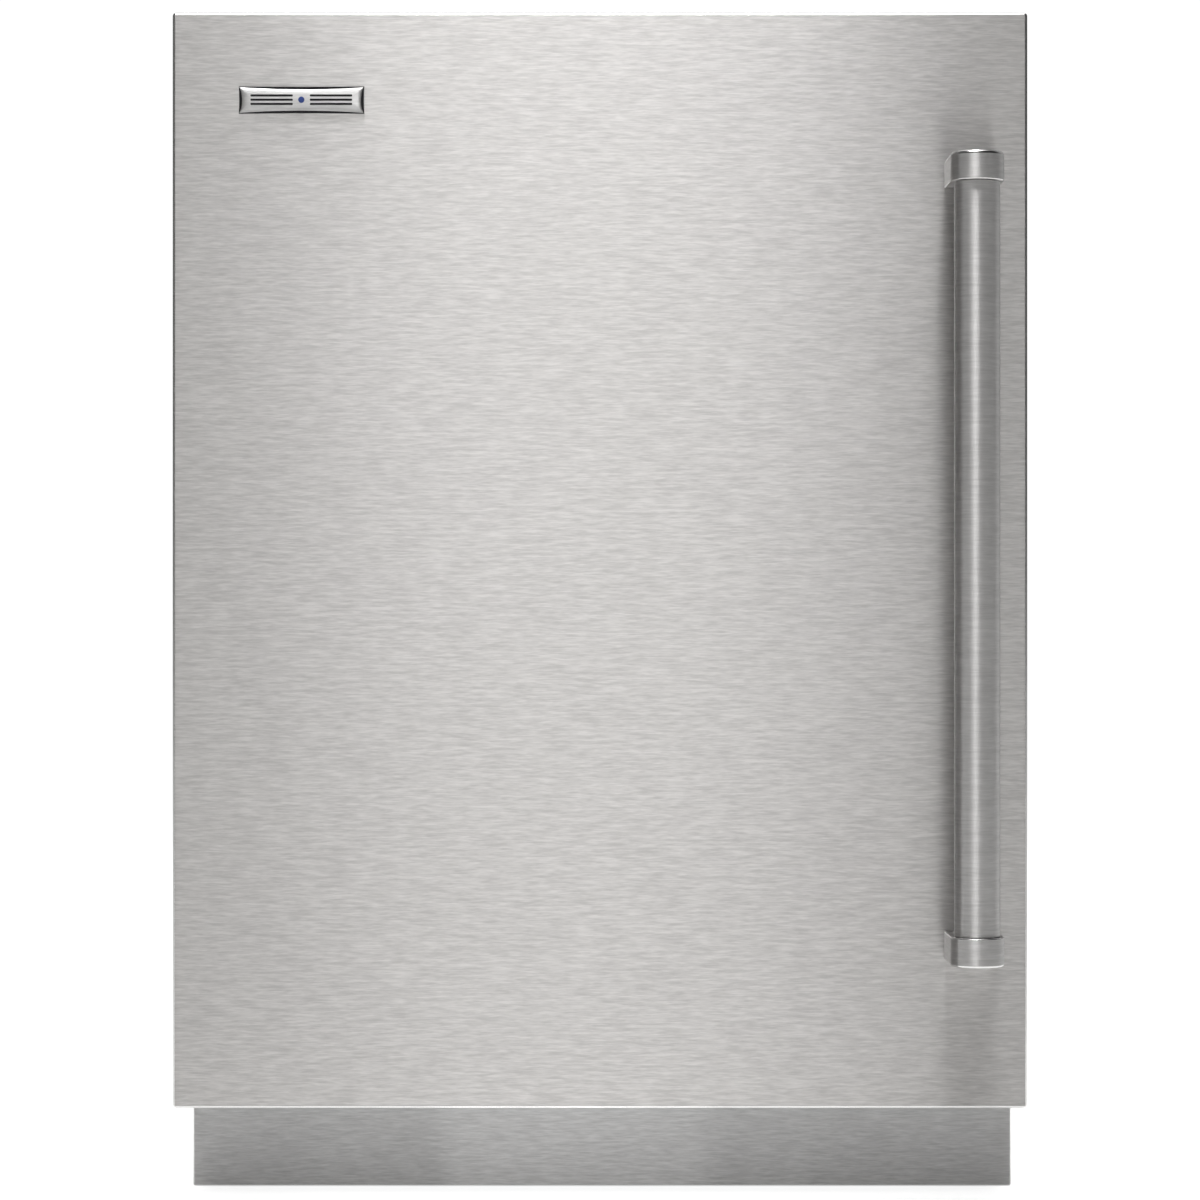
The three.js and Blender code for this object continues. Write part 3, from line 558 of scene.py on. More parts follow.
def area_light(name, place_at, target, size, power, spread=180):
    data = bpy.data.lights.new(name, "AREA")
    data.shape = "RECTANGLE"
    data.size, data.size_y = size
    data.energy = power
    data.spread = math.radians(spread)
    light = bpy.data.objects.new(name, data)
    light.location = place_at
    aim = Vector(target) - Vector(place_at)
    light.rotation_euler = aim.to_track_quat("-Z", "Y").to_euler()
    light.visible_camera = False
    bpy.context.scene.collection.objects.link(light)


SIDEWAYS_GLOW = (  # in front: from the left (0) over the middle (0.5) to the right (1)
    (0.0, 0.1), (0.2, 0.08), (0.36, 0.04), (0.5, 0.01), (0.68, 0.0), (0.82, 0.02), (1.0, 0.03),
)
REAR_GLOW = 0.38  # behind the object
ZENITH_GLOW = 1.3  # straight above


def stage_world():
    """White behind the object; what the metal mirrors is dimmer towards both sides."""
    world = bpy.data.worlds.new("studio")
    bpy.context.scene.world = world
    world.use_nodes = True
    tree = world.node_tree
    links = tree.links
    tree.nodes.clear()
    path = add_node(tree, "LightPath")
    direction = add_node(tree, "TexCoord")
    split = add_node(tree, "SeparateXYZ")
    links.new(direction.outputs["Generated"], split.inputs[0])
    sideways = add_node(tree, "MapRange", From_Min=-1.0)
    links.new(split.outputs["X"], sideways.inputs["Value"])
    ramp = add_node(tree, "ValToRGB")
    stops = ramp.color_ramp.elements
    while len(stops) < len(SIDEWAYS_GLOW):
        stops.new(0.5)
    for stop, (position, level) in zip(stops, SIDEWAYS_GLOW):
        stop.position = position
        stop.color = grey(level)
    links.new(sideways.outputs["Result"], ramp.inputs["Fac"])
    backdrop = add_node(tree, "Background", Color=grey(1.0), Strength=1.05)
    mirrored = add_node(tree, "Background")
    backwards = add_node(tree, "MapRange", From_Min=0.1, From_Max=0.5)
    links.new(split.outputs["Y"], backwards.inputs["Value"])
    around = add_mix(tree, backwards.outputs["Result"], ramp.outputs["Color"], grey(REAR_GLOW))
    upwards = add_node(tree, "MapRange", From_Min=0.86)
    links.new(split.outputs["Z"], upwards.inputs["Value"])
    overhead = add_mix(tree, upwards.outputs["Result"], around, grey(ZENITH_GLOW))
    links.new(overhead, mirrored.inputs["Color"])
    either = add_node(tree, "MixShader")
    links.new(path.outputs["Is Camera Ray"], either.inputs[0])
    links.new(mirrored.outputs[0], either.inputs[1])
    links.new(backdrop.outputs[0], either.inputs[2])
    output = add_node(tree, "OutputWorld")
    links.new(either.outputs[0], output.inputs["Surface"])


def stage_floor():
    """A pale floor that shows white, with its own glow left out of what the metal mirrors."""
    look = Look("floor", (0.9, 0.9, 0.89), 0.9, 0.0)
    look.set("Specular IOR Level", 0.1)
    look.set("Emission Color", grey(1.0))
    path = add_node(look.tree, "LightPath")
    glow = look.add(look.add(path.outputs["Is Camera Ray"], 0.52, "MULTIPLY"), 0.3)
    look.links.new(glow, look.shader.inputs["Emission Strength"])
    shape = Shape()
    half = 14000.0
    corners = ((-half, -half), (half, -half), (half, half), (-half, half))
    shape.points = [Vector((*corner, 0.0)) for corner in corners]
    shape.faces = [[0, 1, 2, 3]]
    floor = bpy.data.objects.new("floor", mesh_of("floor", shape))
    floor.data.materials.append(look.material)
    bpy.context.scene.collection.objects.link(floor)


bpy.context.scene.view_settings.view_transform = "Standard"
stage_camera()
stage_world()
stage_floor()
for width, power in KEY_LAYERS:
    area_light(f"key_{width}", KEY_AT, (KEY_AT[0], -0.3, 0.4), (width, KEY_DEPTH), power)
area_light("left_key", LEFT_AT, (-0.1, -0.3, 0.4), (0.7, KEY_DEPTH), 9.0)
for width in BOUNCE_WIDTHS:
    area_light(f"floor_bounce_{width}", BOUNCE_FROM, BOUNCE_TO, (width, 0.06), BOUNCE_POWER)
area_light("rear_fill", (0.6, 2.4, 1.6), (0.0, 0.3, 0.4), (1.6, 1.4), 12.0)

# ---- door --------------------------------------------------------------------------------------
EDGE = 2.4  # rolled edge of the stainless panel
FLANGE = 14  # the panel's return at the back
SHEET = 1.2
DOOR_BINS = ("door_bin_lower", "door_bin_middle", "door_bin_upper")
LINER_POCKET = (176, 760)  # foot and top of the lining's recess
LINER_RIM = (146, 790)  # and of the rim around it
RIB_PLACES = (-130, 0.0, 130)  # ribs on the floors of the bins and the drawer


def flat(corner, plane):
    u, v, _ = PLANES[plane]
    return corner[u], corner[v]


def door_panel():
    low, high = box("door_panel")
    a, b = flat(low, "xz"), flat(high, "xz")
    levels = [(inset, low.y + rise) for inset, rise in eased(EDGE)]
    levels += [(0.0, high.y - 0.8), (0.8, high.y), (FLANGE, high.y), (FLANGE, high.y - SHEET)]
    shape = Shape().loft(rings_of("xz", a, b, EDGE, levels))
    skin = make("door_skin", shape, "door", "stainless", DOOR_STEEL, "door_panel", "panel_core")
    polish_and_highlight_edges(skin, EDGE_STEEL_POLISHED_HIGHLIT)


def inner_door_case():
    low, high = box("inner_door_case")
    shape = Shape().block(low, high, 1.2, 2, "xz")
    make("door_case", shape, "door", "stainless", SIDE_STEEL, "inner_door_case", "door_foam")


def door_liner():
    """The white inner lining: a flange, a raised rim, a recessed floor and lugs for the bins."""
    low, high = box("door_liner")
    face = box("inner_door_case")[1].y + 2.3
    back = high.y
    half = box(DOOR_BINS[0])[1].x + 0.5
    rim_half = half + 30
    rim = ((-rim_half, LINER_RIM[0]), (rim_half, LINER_RIM[1]), 22)
    pocket = ((-half, LINER_POCKET[0]), (half, LINER_POCKET[1]), 12)
    flange = [(0.0, low.y), (0.0, face - 0.6), (0.6, face)]
    rise = [(-4, face), (0.0, face + 1), (1.2, face + 8), (2.5, back - 6)]
    crest = back - 5
    rise += [(7.5 + across, crest + out) for across, out in arc(5, 180, 90, 4)]
    fall = [(across - 7, crest + out) for across, out in arc(5, 90, 0, 4)]
    fall += [(0.0, back - 12), (0.0, face + 9), (0.3, face + 4)]
    fall += [(4 + across, face + 4 + out) for across, out in arc(4, 180, 270, 3)]
    rings = rings_of("xz", flat(low, "xz"), flat(high, "xz"), 4, flange, 6)
    rings += rings_of("xz", *rim, rise, 6) + rings_of("xz", *pocket, fall, 6)
    shape = Shape().loft(rings)
    for name in DOOR_BINS:
        under = box(name)[0].z
        for side in (-1, 1):
            x = sorted((side * (half - 0.2), side * (half + 3.8)))
            lug_low = (x[0], face + 10, under - 5)
            shape.block(lug_low, (x[1], back - 14, under - 1), 1)
    make("door_lining", shape, "door", "liner_plastic", LINER_PLASTIC, "door_liner")


def door_gasket():
    """A magnetic seal: a soft tube against the cabinet, a bellows and a base against the door."""
    low, high = box("door_gasket")
    a, b = flat(low, "xz"), flat(high, "xz")
    depth = high.y - low.y
    profile = [
        (4.0, 0.0), (1.5, 0.04), (1.2, 0.22), (3.4, 0.34), (1.0, 0.46), (0.2, 0.6), (0.0, 0.82),
        (0.8, 0.96), (2.4, 1.0), (15.0, 1.0), (17.0, 0.95), (17.8, 0.8), (17.2, 0.6), (14.6, 0.46),
        (16.8, 0.3), (16.4, 0.06), (14.0, 0.0),
    ]
    levels = [(inset, low.y + t * depth) for inset, t in profile]
    shape = Shape().loft(rings_of("xz", a, b, 19, levels, 6), loop=True)
    make("seal", shape, "door", "gasket_rubber", GASKET_RUBBER, "door_gasket")


def tray(low, high, wall, corner, lip, draft=0.0):
    """An open tray with rounded edges and a rolled lip, as rings from its foot to its floor."""
    foot = 3
    outside, inside = lip + draft + foot, lip + draft + wall + foot
    levels = [(outside + across, low.z + foot + up) for across, up in arc(foot, 270, 180, 4)]
    levels += [
        (lip, high.z - 7), (0.4 * lip, high.z - 5.5), (0.0, high.z - 4.5),
        (0.0, high.z - 1.2), (0.8, high.z), (lip + wall - 0.8, high.z),
        (lip + wall, high.z - 1),
    ]
    base = low.z + wall + foot
    levels += [(inside + across, base + up) for across, up in arc(foot, 180, 270, 4)]
    return Shape().loft(rings_of("xy", flat(low, "xy"), flat(high, "xy"), corner, levels, 6))


def door_bins():
    for name in DOOR_BINS:
        low, high = box(name)
        shape = tray(low, high, 2.4, 12, 2.2, 0.6)
        for rib in RIB_PLACES:
            rib_low = (rib - 1, low.y + 6, low.z + 2)
            rib_high = (rib + 1, high.y - 6, low.z + 12)
            shape.block(rib_low, rib_high, 0.6)
        make(name + "_tray", shape, "door", "clear_plastic", CLEAR_PLASTIC, name)


def handle_outline(name, inset, z, sides=24):
    """The standoff's outline: round in front about the bar's axis, straight back to the door."""
    low, high = box(name)
    radius = (high.x - low.x) / 2
    centre = Vector(((low.x + high.x) / 2, low.y + radius))
    nose = arc(radius - inset, 180, 360, sides, centre)
    outline = [(nose[0][0], high.y), *nose, (nose[-1][0], high.y)]
    return [Vector((x, y, z)) for x, y in outline]


def handle_brackets():
    """Standoffs with a broad soft edge at the outer end and a crisp one towards the bar."""
    posts = (("handle_bracket_top", 1, 2.6), ("handle_bracket_bottom", -1, 1.5))
    for name, outward, soft in posts:
        low, high = box(name)
        outer, inner = (high.z, low.z) if outward > 0 else (low.z, high.z)
        rings = []
        for end, edge, sign in ((outer, soft, -outward), (inner, 0.7, outward)):
            half = [handle_outline(name, inset, end + sign * rise) for inset, rise in eased(edge)]
            rings += half if sign == -outward else half[::-1]
        shape = Shape().loft(rings)
        post = make(name + "_post", shape, "door", "handle_steel", HANDLE_STEEL, name)
        polish_and_highlight_edges(post, EDGE_STEEL_POLISHED_HIGHLIT, (2,))


def handle_bar():
    low, high = box("handle_bar")
    centre = ((low.x + high.x) / 2, (low.y + high.y) / 2, 0.0)
    radius = (high.x - low.x) / 2
    ease = 0.5
    profile = [
        (0, low.z), (radius - ease, low.z), (radius, low.z + ease),
        (radius, high.z - ease), (radius - ease, high.z), (0, high.z),
    ]
    shape = Shape().lathe(profile, centre, "xy", 72)
    make("handle_tube", shape, "door", "handle_steel", HANDLE_STEEL, "handle_bar")


def bowed_ring(low, high, pinch, inset, y, steps=10):
    """A rectangle in the XZ plane whose sides bow inwards between pointed corners."""
    corners = [(low.x, low.z), (high.x, low.z), (high.x, high.z), (low.x, high.z)]
    inward = [(0, 1), (-1, 0), (0, -1), (1, 0)]
    ring = []
    for side in range(4):
        start, end = corners[side], corners[(side + 1) % 4]
        for step in range(steps):
            t = step / steps
            bow = inset + pinch * 4 * t * (1 - t)
            x = start[0] + (end[0] - start[0]) * t + inward[side][0] * bow
            z = start[1] + (end[1] - start[1]) * t + inward[side][1] * bow
            x = min(max(x, low.x + inset), high.x - inset)
            z = min(max(z, low.z + inset), high.z - inset)
            ring.append(Vector((x, y, z)))
    return ring


BADGE_CROWN = (  # inset, pinch of the sides and depth below the front, in mm
    (0.6, 1.9, 1.1), (1.2, 1.8, 0.8), (2.4, 1.3, 0.5),
    (4.2, 0.8, 0.27), (6.4, 0.4, 0.15), (8.4, 0.2, 0.12),
)


def badge():
    """A plain name plate with no name: crowned, with pinched sides and dark lines; a near-black
    base shows at the pinched flanks as painted shade on the plate's bevelled ends.
    """
    low, high = box("badge")
    depth = high.y - low.y
    base = [bowed_ring(low, high, 0.3, 0.0, y) for y in (high.y, high.y - 0.45 * depth)]
    # The near-black base shows at the plate's pinched ends and edges: painted shade on the plate's
    # bevelled flanks.
    make("badge_base_painted_shade", Shape().loft(base), "door", "black_plastic", DARK_INLAY_AND_SHADE, "badge")
    rings = [bowed_ring(low, high, 1.6, 0.5, high.y - 0.46 * depth)]
    for inset, pinch, y in BADGE_CROWN:
        rings.append(bowed_ring(low, high, pinch, inset, low.y + y))
    make("badge_plate", Shape().loft(rings), "door", "badge_steel", BADGE_STEEL)
    centre = (low + high) / 2
    lines = Shape()
    for side in (-1, 1):
        for rise in (-3.0, 0.0, 3.0):
            middle = centre.x + side * 21
            line_low = (middle - 15, low.y, centre.z + rise - 0.75)
            line_high = (middle + 15, low.y + 0.6, centre.z + rise + 0.75)
            lines.block(line_low, line_high, 0.1, 0.6, "xz")
    make("badge_lines", lines, "door", "black_plastic", DARK_INLAY_AND_SHADE)
    stud = [(0.1, -0.1), (1.9, -0.1), (2.3, 0.05), (2.3, 0.6), (0.1, 0.6)]
    dot = Shape().lathe(stud, (centre.x, low.y + 0.1, centre.z), "xz", 32)
    make("badge_stud", dot, "door", "black_plastic", BLUE_ENAMEL)
    for name in ("badge_base_painted_shade", "badge_plate", "badge_lines"):
        bpy.data.objects[name].visible_shadow = False  # so thin that it hardly shades the door


door_panel()
inner_door_case()
door_liner()
door_gasket()
door_bins()
handle_brackets()
handle_bar()
badge()

# ---- cabinet -----------------------------------------------------------------------------------
TOUCH = 0.3  # the gap that touching CAD pieces keep
MOUTH_R = 14  # corner radius of the cold room's mouth


def room():
    """The cold room's clear space: half width, floor, top, back, and where its rear step is."""
    half = box("shelf_rail_right")[1].x + TOUCH
    floor = box("crisper_drawer")[0].z - TOUCH
    top = box("control_panel")[1].z + TOUCH
    back = box("evaporator_cover")[1].y + TOUCH
    step_y = box("crisper_lid")[1].y + 2
    step_z = box("evaporator_cover")[0].z - 15
    return half, floor, top, back, step_y, step_z


def cross_ring(plane, u, v, arm, w, sides=24):
    """A four-armed recess; every sixth point of the ring is the middle of an arm."""
    ring = []
    for i in range(sides):
        radius = arm if i % 6 in (0, 1, 5) else 0.4 * arm
        ring.append(polar(plane, u, v, radius, 2 * math.pi * i / sides, w))
    return ring


def add_screw(shape, plane, u, v, w, out, radius=3.4, proud=0.8):
    """A low domed head with a cross recess, facing along the plane's normal if out is 1."""
    rings = []
    for r, rise in ((1.0, -0.4), (1.0, 0.3), (0.92, 0.62), (0.72, 0.88), (0.6, 0.96)):
        rings.append(circle_ring(plane, u, v, r * radius, w + out * rise * proud, 24))
    rings.append(cross_ring(plane, u, v, 0.5 * radius, w + out * proud))
    rings.append(cross_ring(plane, u, v, 0.42 * radius, w + out * 0.15 * proud))
    shape.loft(rings)


def add_screws(shape, plane, us, vs, w, out, **size):
    """A screw at every crossing of the places us and vs."""
    for u in us:
        for v in vs:
            add_screw(shape, plane, u, v, w, out, **size)


def screws_of(name, plane, us, vs, w, out, slot, **size):
    shape = Shape()
    add_screws(shape, plane, us, vs, w, out, **size)
    return make(name, shape, "cabinet", slot, SCREW_STEEL)


def side_panels():
    toe_y = box("air_grille")[0].y
    floor_z = box("front_frame")[0].z
    for name in ("side_panel_left", "side_panel_right"):
        low, high = box(name)
        out = 1 if low.x > 0 else -1
        outline = [
            (low.y, floor_z), (toe_y, floor_z), (toe_y, low.z),
            (high.y, low.z), (high.y, high.z), (low.y, high.z),
        ]
        shape = Shape().prism("yz", outline, low.x, high.x)
        make(name + "_skin", shape, "cabinet", "stainless", SIDE_STEEL, name, bevel=0.5)
        face = high.x if out > 0 else low.x
        screws = Shape()
        along_foot = (toe_y + 25, 0, 155, high.y - 20)
        up_the_back = (150, 360, 570, high.z - 70)
        add_screws(screws, "yz", along_foot, (low.z + 12,), face, out)
        add_screws(screws, "yz", (high.y - 8,), up_the_back, face, out)
        make(name + "_screws", screws, "cabinet", "stainless", SCREW_STEEL)


def top_panel():
    low, high = box("top_panel")
    shape = Shape().block(low, high, 0.5, 0.6)
    make("top_skin", shape, "cabinet", "stainless", TOP_STEEL, "top_panel")
    places = (-240, -80, 80, 240)
    screws_of("top_screws", "xy", places, (high.y - 10,), high.z, 1, "stainless", proud=1.0)


def front_frame():
    """The flat stainless face that the seal closes on, with a rounded mouth."""
    low, high = box("front_frame")
    half, floor, top, *_ = room()
    a, b = flat(low, "xz"), flat(high, "xz")
    y = low.y
    outside = [(0.0, high.y), (0.0, y + 0.8), (0.25, y + 0.2), (0.8, y)]
    mouth = [(-0.8, y), (-0.2, y + 0.2), (0.0, y + 0.8), (0.0, high.y)]
    rings = rings_of("xz", a, b, 1.5, outside)
    rings += rings_of("xz", (-half, floor), (half, top), MOUTH_R, mouth)
    shape = Shape().loft(rings, loop=True)
    make("frame_face", shape, "cabinet", "stainless", FRAME_STEEL, "front_frame")


def room_rings(margin, front):
    """Rings from the room's mouth to its back wall, grown outwards by a margin."""
    half, floor, top, back, step_y, step_z = room()
    fillet = 10
    line = [(front, floor), (front + 30, floor), (step_y - fillet, floor)]
    line += arc(fillet, -90, 0, 5, (step_y - fillet, floor + fillet))[1:]
    line += arc(fillet, 180, 90, 5, (step_y + fillet, step_z - fillet))
    rings = []
    for y, z in line:
        a, b = (-half - margin, z - margin), (half + margin, top + margin)
        rings.append(rect_ring("xz", a, b, MOUTH_R + margin, y + (margin if y > front else 0)))
    a, b = (-half - margin, step_z - margin), (half + margin, top + margin)
    for inset, y in arc(fillet, 180, 90, 5):
        corner = back - fillet + y + margin
        rings.append(inset_ring("xz", a, b, MOUTH_R + margin, fillet + inset, corner))
    return rings


def liner():
    """The moulded white shell of the cold room, with its ledges for the crisper's lid."""
    low, high = box("liner")
    half, floor, top, *_ = room()
    wall = 2
    a, b = flat(low, "xz"), flat(high, "xz")
    flange = [inset_ring("xz", a, b, 6, 0.0, y) for y in (low.y + wall, low.y)]
    inner = room_rings(0.0, low.y + SHEET)
    lip_low, lip_high = (-half - SHEET, floor - SHEET), (half + SHEET, top + SHEET)
    lip = rect_ring("xz", lip_low, lip_high, MOUTH_R, low.y)
    outer = room_rings(wall, low.y + wall)
    shape = Shape().loft([*outer[::-1], *flange, lip, *inner])
    ledge = box("crisper_lid")
    for side in (-1, 1):
        x0, x1 = side * (half - 10), side * (half + 0.5)
        ledge_low = (min(x0, x1), ledge[0].y, ledge[0].z - TOUCH - 10)
        ledge_high = (max(x0, x1), ledge[1].y, ledge[0].z - TOUCH)
        shape.block(ledge_low, ledge_high, 2, steps=3)
    make("room_lining", shape, "cabinet", "liner_plastic", LINER_PLASTIC, "liner")


BEADS = (34.0, 62.0)  # the beads' distances from the rear sheet's edge, in mm


def rear_panel():
    """A galvanised sheet, stiffened by two pressed beads, with screws around its edge."""
    low, high = box("rear_panel")
    a, b = flat(low, "xz"), flat(high, "xz")
    rise = 1.3
    steps = [(0.0, 0.0), (0.3, 0.0)]
    for start in BEADS:
        steps += [(start, 0.0), (start + 2, 0.5), (start + 4, 1.0), (start + 10, 1.0)]
        steps += [(start + 12, 0.5), (start + 14, 0.0)]
    rings = [rect_ring("xz", a, b, 2, low.y, 6)]
    for inset, height in steps:
        ring_a, ring_b = (a[0] + inset, a[1] + inset), (b[0] - inset, b[1] - inset)
        radius = 14 if inset > 30 else 20 - inset
        rings.append(rect_ring("xz", ring_a, ring_b, radius, high.y + height * rise, 6))
    shape = Shape().loft(rings)
    make("rear_sheet", shape, "cabinet", "galvanised", ZINC, "rear_panel")
    screws, face = Shape(), high.y
    up_the_sides = [low.z + 20 + step * (high.z - low.z - 40) / 4 for step in range(5)]
    add_screws(screws, "xz", (low.x + 12, high.x - 12), up_the_sides, face, 1, proud=1.2)
    add_screws(screws, "xz", (-150, 0, 150), (high.z - 12,), face, 1, proud=1.2)
    make("rear_screws", screws, "cabinet", "galvanised", SCREW_STEEL)


LOUVRE_COLUMNS = (-180, 0.0, 180)
LOUVRE_HALF = 60
LOUVRE_ROWS = [100 + 25 * row for row in range(7)]


def add_hood(shape, x, z, face):
    """A pressed hood over an air slot, flattening out at both ends."""
    rise = 1.8
    start = [(-1.04, 0.08), (-1.0, 0.5), (-0.94, 0.85), (-0.86, 1.0)]
    loops = []
    for along, size in start + [(-along, size) for along, size in start[::-1]]:
        out = face + rise * size
        at = x + along * LOUVRE_HALF
        profile = [
            (face - 0.8, z + 7.5), (face + 0.1, z + 7.5),
            (face + 0.55 * rise * size, z + 5), (out - 0.15 * rise * size, z + 2),
            (out, z - 1.5), (out, z - 3.5), (out - 0.7 * size, z - 3.5),
            (out - 0.8 * size, z + 0.5), (face - 0.8, z + 5),
        ]
        loops.append([Vector((at, y, height)) for y, height in profile])
    shape.loft(loops)


def service_cover():
    low, high = box("service_cover")
    shape = Shape().block(low, high, 0.4, 2, "xz")
    slots, hoods = Shape(), Shape()
    for x in LOUVRE_COLUMNS:
        for z in LOUVRE_ROWS:
            slot_low = (x - LOUVRE_HALF + 2, low.y - 2, z - 4)
            slot_high = (x + LOUVRE_HALF - 2, high.y + 2, z + 4)
            slots.block(slot_low, slot_high, 0.3, 3.5, "xz")
            add_hood(hoods, x, z, high.y)
    inlet = box("cord_inlet")
    middle = (inlet[0] + inlet[1]) / 2
    slots.lathe([(9.3, -100), (9.3, 100)], (middle.x, high.y, middle.z), "xz", 24)
    make("bay_cover", shape, "cabinet", "galvanised", ZINC, "service_cover", cuts=slots)
    make("bay_louvres", hoods, "cabinet", "galvanised", ZINC)
    xs, zs = (low.x + 12, -90, 90, high.x - 12), (low.z + 12, high.z - 12)
    screws_of("bay_cover_screws", "xz", xs, zs, high.y, 1, "galvanised", proud=1.2)


def cord_inlet():
    """A stepped bush for the supply cord."""
    low, high = box("cord_inlet")
    middle = (low + high) / 2
    rim = (high.x - low.x) / 2
    depth = high.y - low.y
    profile = [
        (4.5, 0.0), (8.6, 0.0), (9, 0.6), (9, depth - 1.7),
        (rim, depth - 1.7), (rim, depth - 0.6), (rim - 1.2, depth),
        (7.5, depth), (6.6, depth - 1), (4.9, depth - 1), (4.5, depth - 1.6),
    ]
    shape = Shape().lathe(profile, (middle.x, low.y, middle.z), "xz", 36, loop=True)
    make("inlet_bush", shape, "cabinet", "black_plastic", BLACK_PLASTIC, "cord_inlet")


def kick_plate():
    """A folded plate: soft front edges, short returns and an open back."""
    low, high = box("kick_plate")
    a, b = flat(low, "xz"), flat(high, "xz")
    fold = 1.6
    levels = [(inset, low.y + rise) for inset, rise in eased(fold)]
    levels += [(0.0, high.y - 0.3), (0.3, high.y), (SHEET, high.y), (SHEET, low.y + SHEET)]
    shape = Shape().loft(rings_of("xz", a, b, fold, levels))
    # Its darker steel paints the shade under the door's overhang.
    skin = make("kick_skin", shape, "cabinet", "stainless", KICK_STEEL_SHADED, "kick_plate")
    polish_and_highlight_edges(skin, EDGE_STEEL_POLISHED_HIGHLIT)


side_panels()
top_panel()
front_frame()
liner()
rear_panel()
service_cover()
cord_inlet()
kick_plate()

# ---- fittings of the cold room -----------------------------------------------------------------
LEDGE_FIRST = 365
LEDGE_PITCH = 55
LEDGE_COUNT = 8


def shelf_rails():
    """Strips with a ledge at each shelf height, fixed by screws."""
    for name in ("shelf_rail_left", "shelf_rail_right"):
        low, high = box(name)
        out = -1 if low.x > 0 else 1
        wall = high.x if out < 0 else low.x
        strip = sorted((wall, wall + out * 2))
        shape = Shape().block((strip[0], low.y, low.z), (strip[1], high.y, high.z), 0.5, 3, "yz")
        reach = sorted((wall + out, wall + out * 10))
        for level in range(LEDGE_COUNT):
            top = LEDGE_FIRST + LEDGE_PITCH * level
            ledge_low = (reach[0], low.y, top - 4)
            shape.block(ledge_low, (reach[1], high.y, top), 0.9, 1.4, "xz")
        make(name + "_strip", shape, "cabinet", "aluminium", ALUMINIUM, name)
        ys = (low.y + 30, (low.y + high.y) / 2, high.y - 30)
        zs = [LEDGE_FIRST + LEDGE_PITCH * (level + 0.5) for level in (0, 3, 6)]
        face = wall + out * 2
        screws_of(name + "_screws", "yz", ys, zs, face, out, "aluminium", proud=1.4)


def shelves():
    for level in ("middle", "upper"):
        glass = "shelf_glass_" + level
        shape = Shape().block(*box(glass), 1.5, 5, "xy", 4)
        make("shelf_pane_" + level, shape, "cabinet", "shelf_glass", SHELF_GLASS, glass)
        low, high = box("shelf_trim_" + level)
        cap = 4
        inside_low = (low.x + cap, low.y, low.z)
        shape = Shape().block(inside_low, (high.x - cap, high.y, high.z), 0.3, 3.2, "yz", 4)
        make("shelf_rim_" + level, shape, "cabinet", "aluminium", ALUMINIUM, "shelf_trim_" + level)
        caps = Shape()
        for start in (low.x, high.x - cap):
            cap_high = (start + cap, high.y, high.z)
            caps.block((start, low.y, low.z), cap_high, 0.9, 3.4, "yz", 4)
        make("shelf_rim_caps_" + level, caps, "cabinet", "black_plastic", BLACK_PLASTIC)


def crisper():
    shape = Shape().block(*box("crisper_lid"), 1.5, 5, "xy", 4)
    make("crisper_pane", shape, "cabinet", "shelf_glass", SHELF_GLASS, "crisper_lid")
    low, high = box("crisper_drawer")
    grip_depth, grip_half, grip_height = 6, 195, 24
    body_low = Vector((low.x, low.y + grip_depth, low.z))
    shape = tray(body_low, high, 3, 14, 2.5, 1)
    grip_low = (-grip_half, low.y, high.z - grip_height)
    shape.block(grip_low, (grip_half, low.y + 3, high.z - 0.5), 1.4, 7, "xz", 4)
    bridge_low = (-grip_half + 4, low.y + 2, high.z - 5.5)
    shape.block(bridge_low, (grip_half - 4, body_low.y + 3, high.z - 1), 1.2)
    for x in RIB_PLACES:
        rib_low = (x - 1.2, body_low.y + 12, low.z + 2)
        shape.block(rib_low, (x + 1.2, high.y - 12, low.z + 7), 0.8)
    make("crisper_tray", shape, "crisper", "clear_plastic", CLEAR_PLASTIC, "crisper_drawer")


SEGMENTS = {  # the seven bars of a digit: middle across and up, in half heights, and if it stands
    "a": (0.0, 1.0, False), "b": (0.5, 0.5, True), "c": (0.5, -0.5, True), "d": (0.0, -1.0, False),
    "e": (-0.5, -0.5, True), "f": (-0.5, 0.5, True), "g": (0.0, 0.0, False),
}
DIGITS = {"3": "abgcd", "8": "abcdefg"}


def add_digit(shape, digit, x, z, half, y):
    thick = 0.55
    for segment in DIGITS[digit]:
        across, up, stands = SEGMENTS[segment]
        cx, cz = x + across * half, z + up * half
        reach = half * 0.42
        dx, dz = (thick, reach) if stands else (reach, thick)
        shape.block((cx - dx, y, cz - dz), (cx + dx, y + 0.3, cz + dz), 0.05, 0.4, "xz")


BUTTON_BODIES = {
    "power_button": "power_key",
    "colder_button": "colder_key",
    "warmer_button": "warmer_key",
}
BUTTON_BARS = {
    "power_button": ["tall"],
    "colder_button": ["wide"],
    "warmer_button": ["wide", "tall"],
}


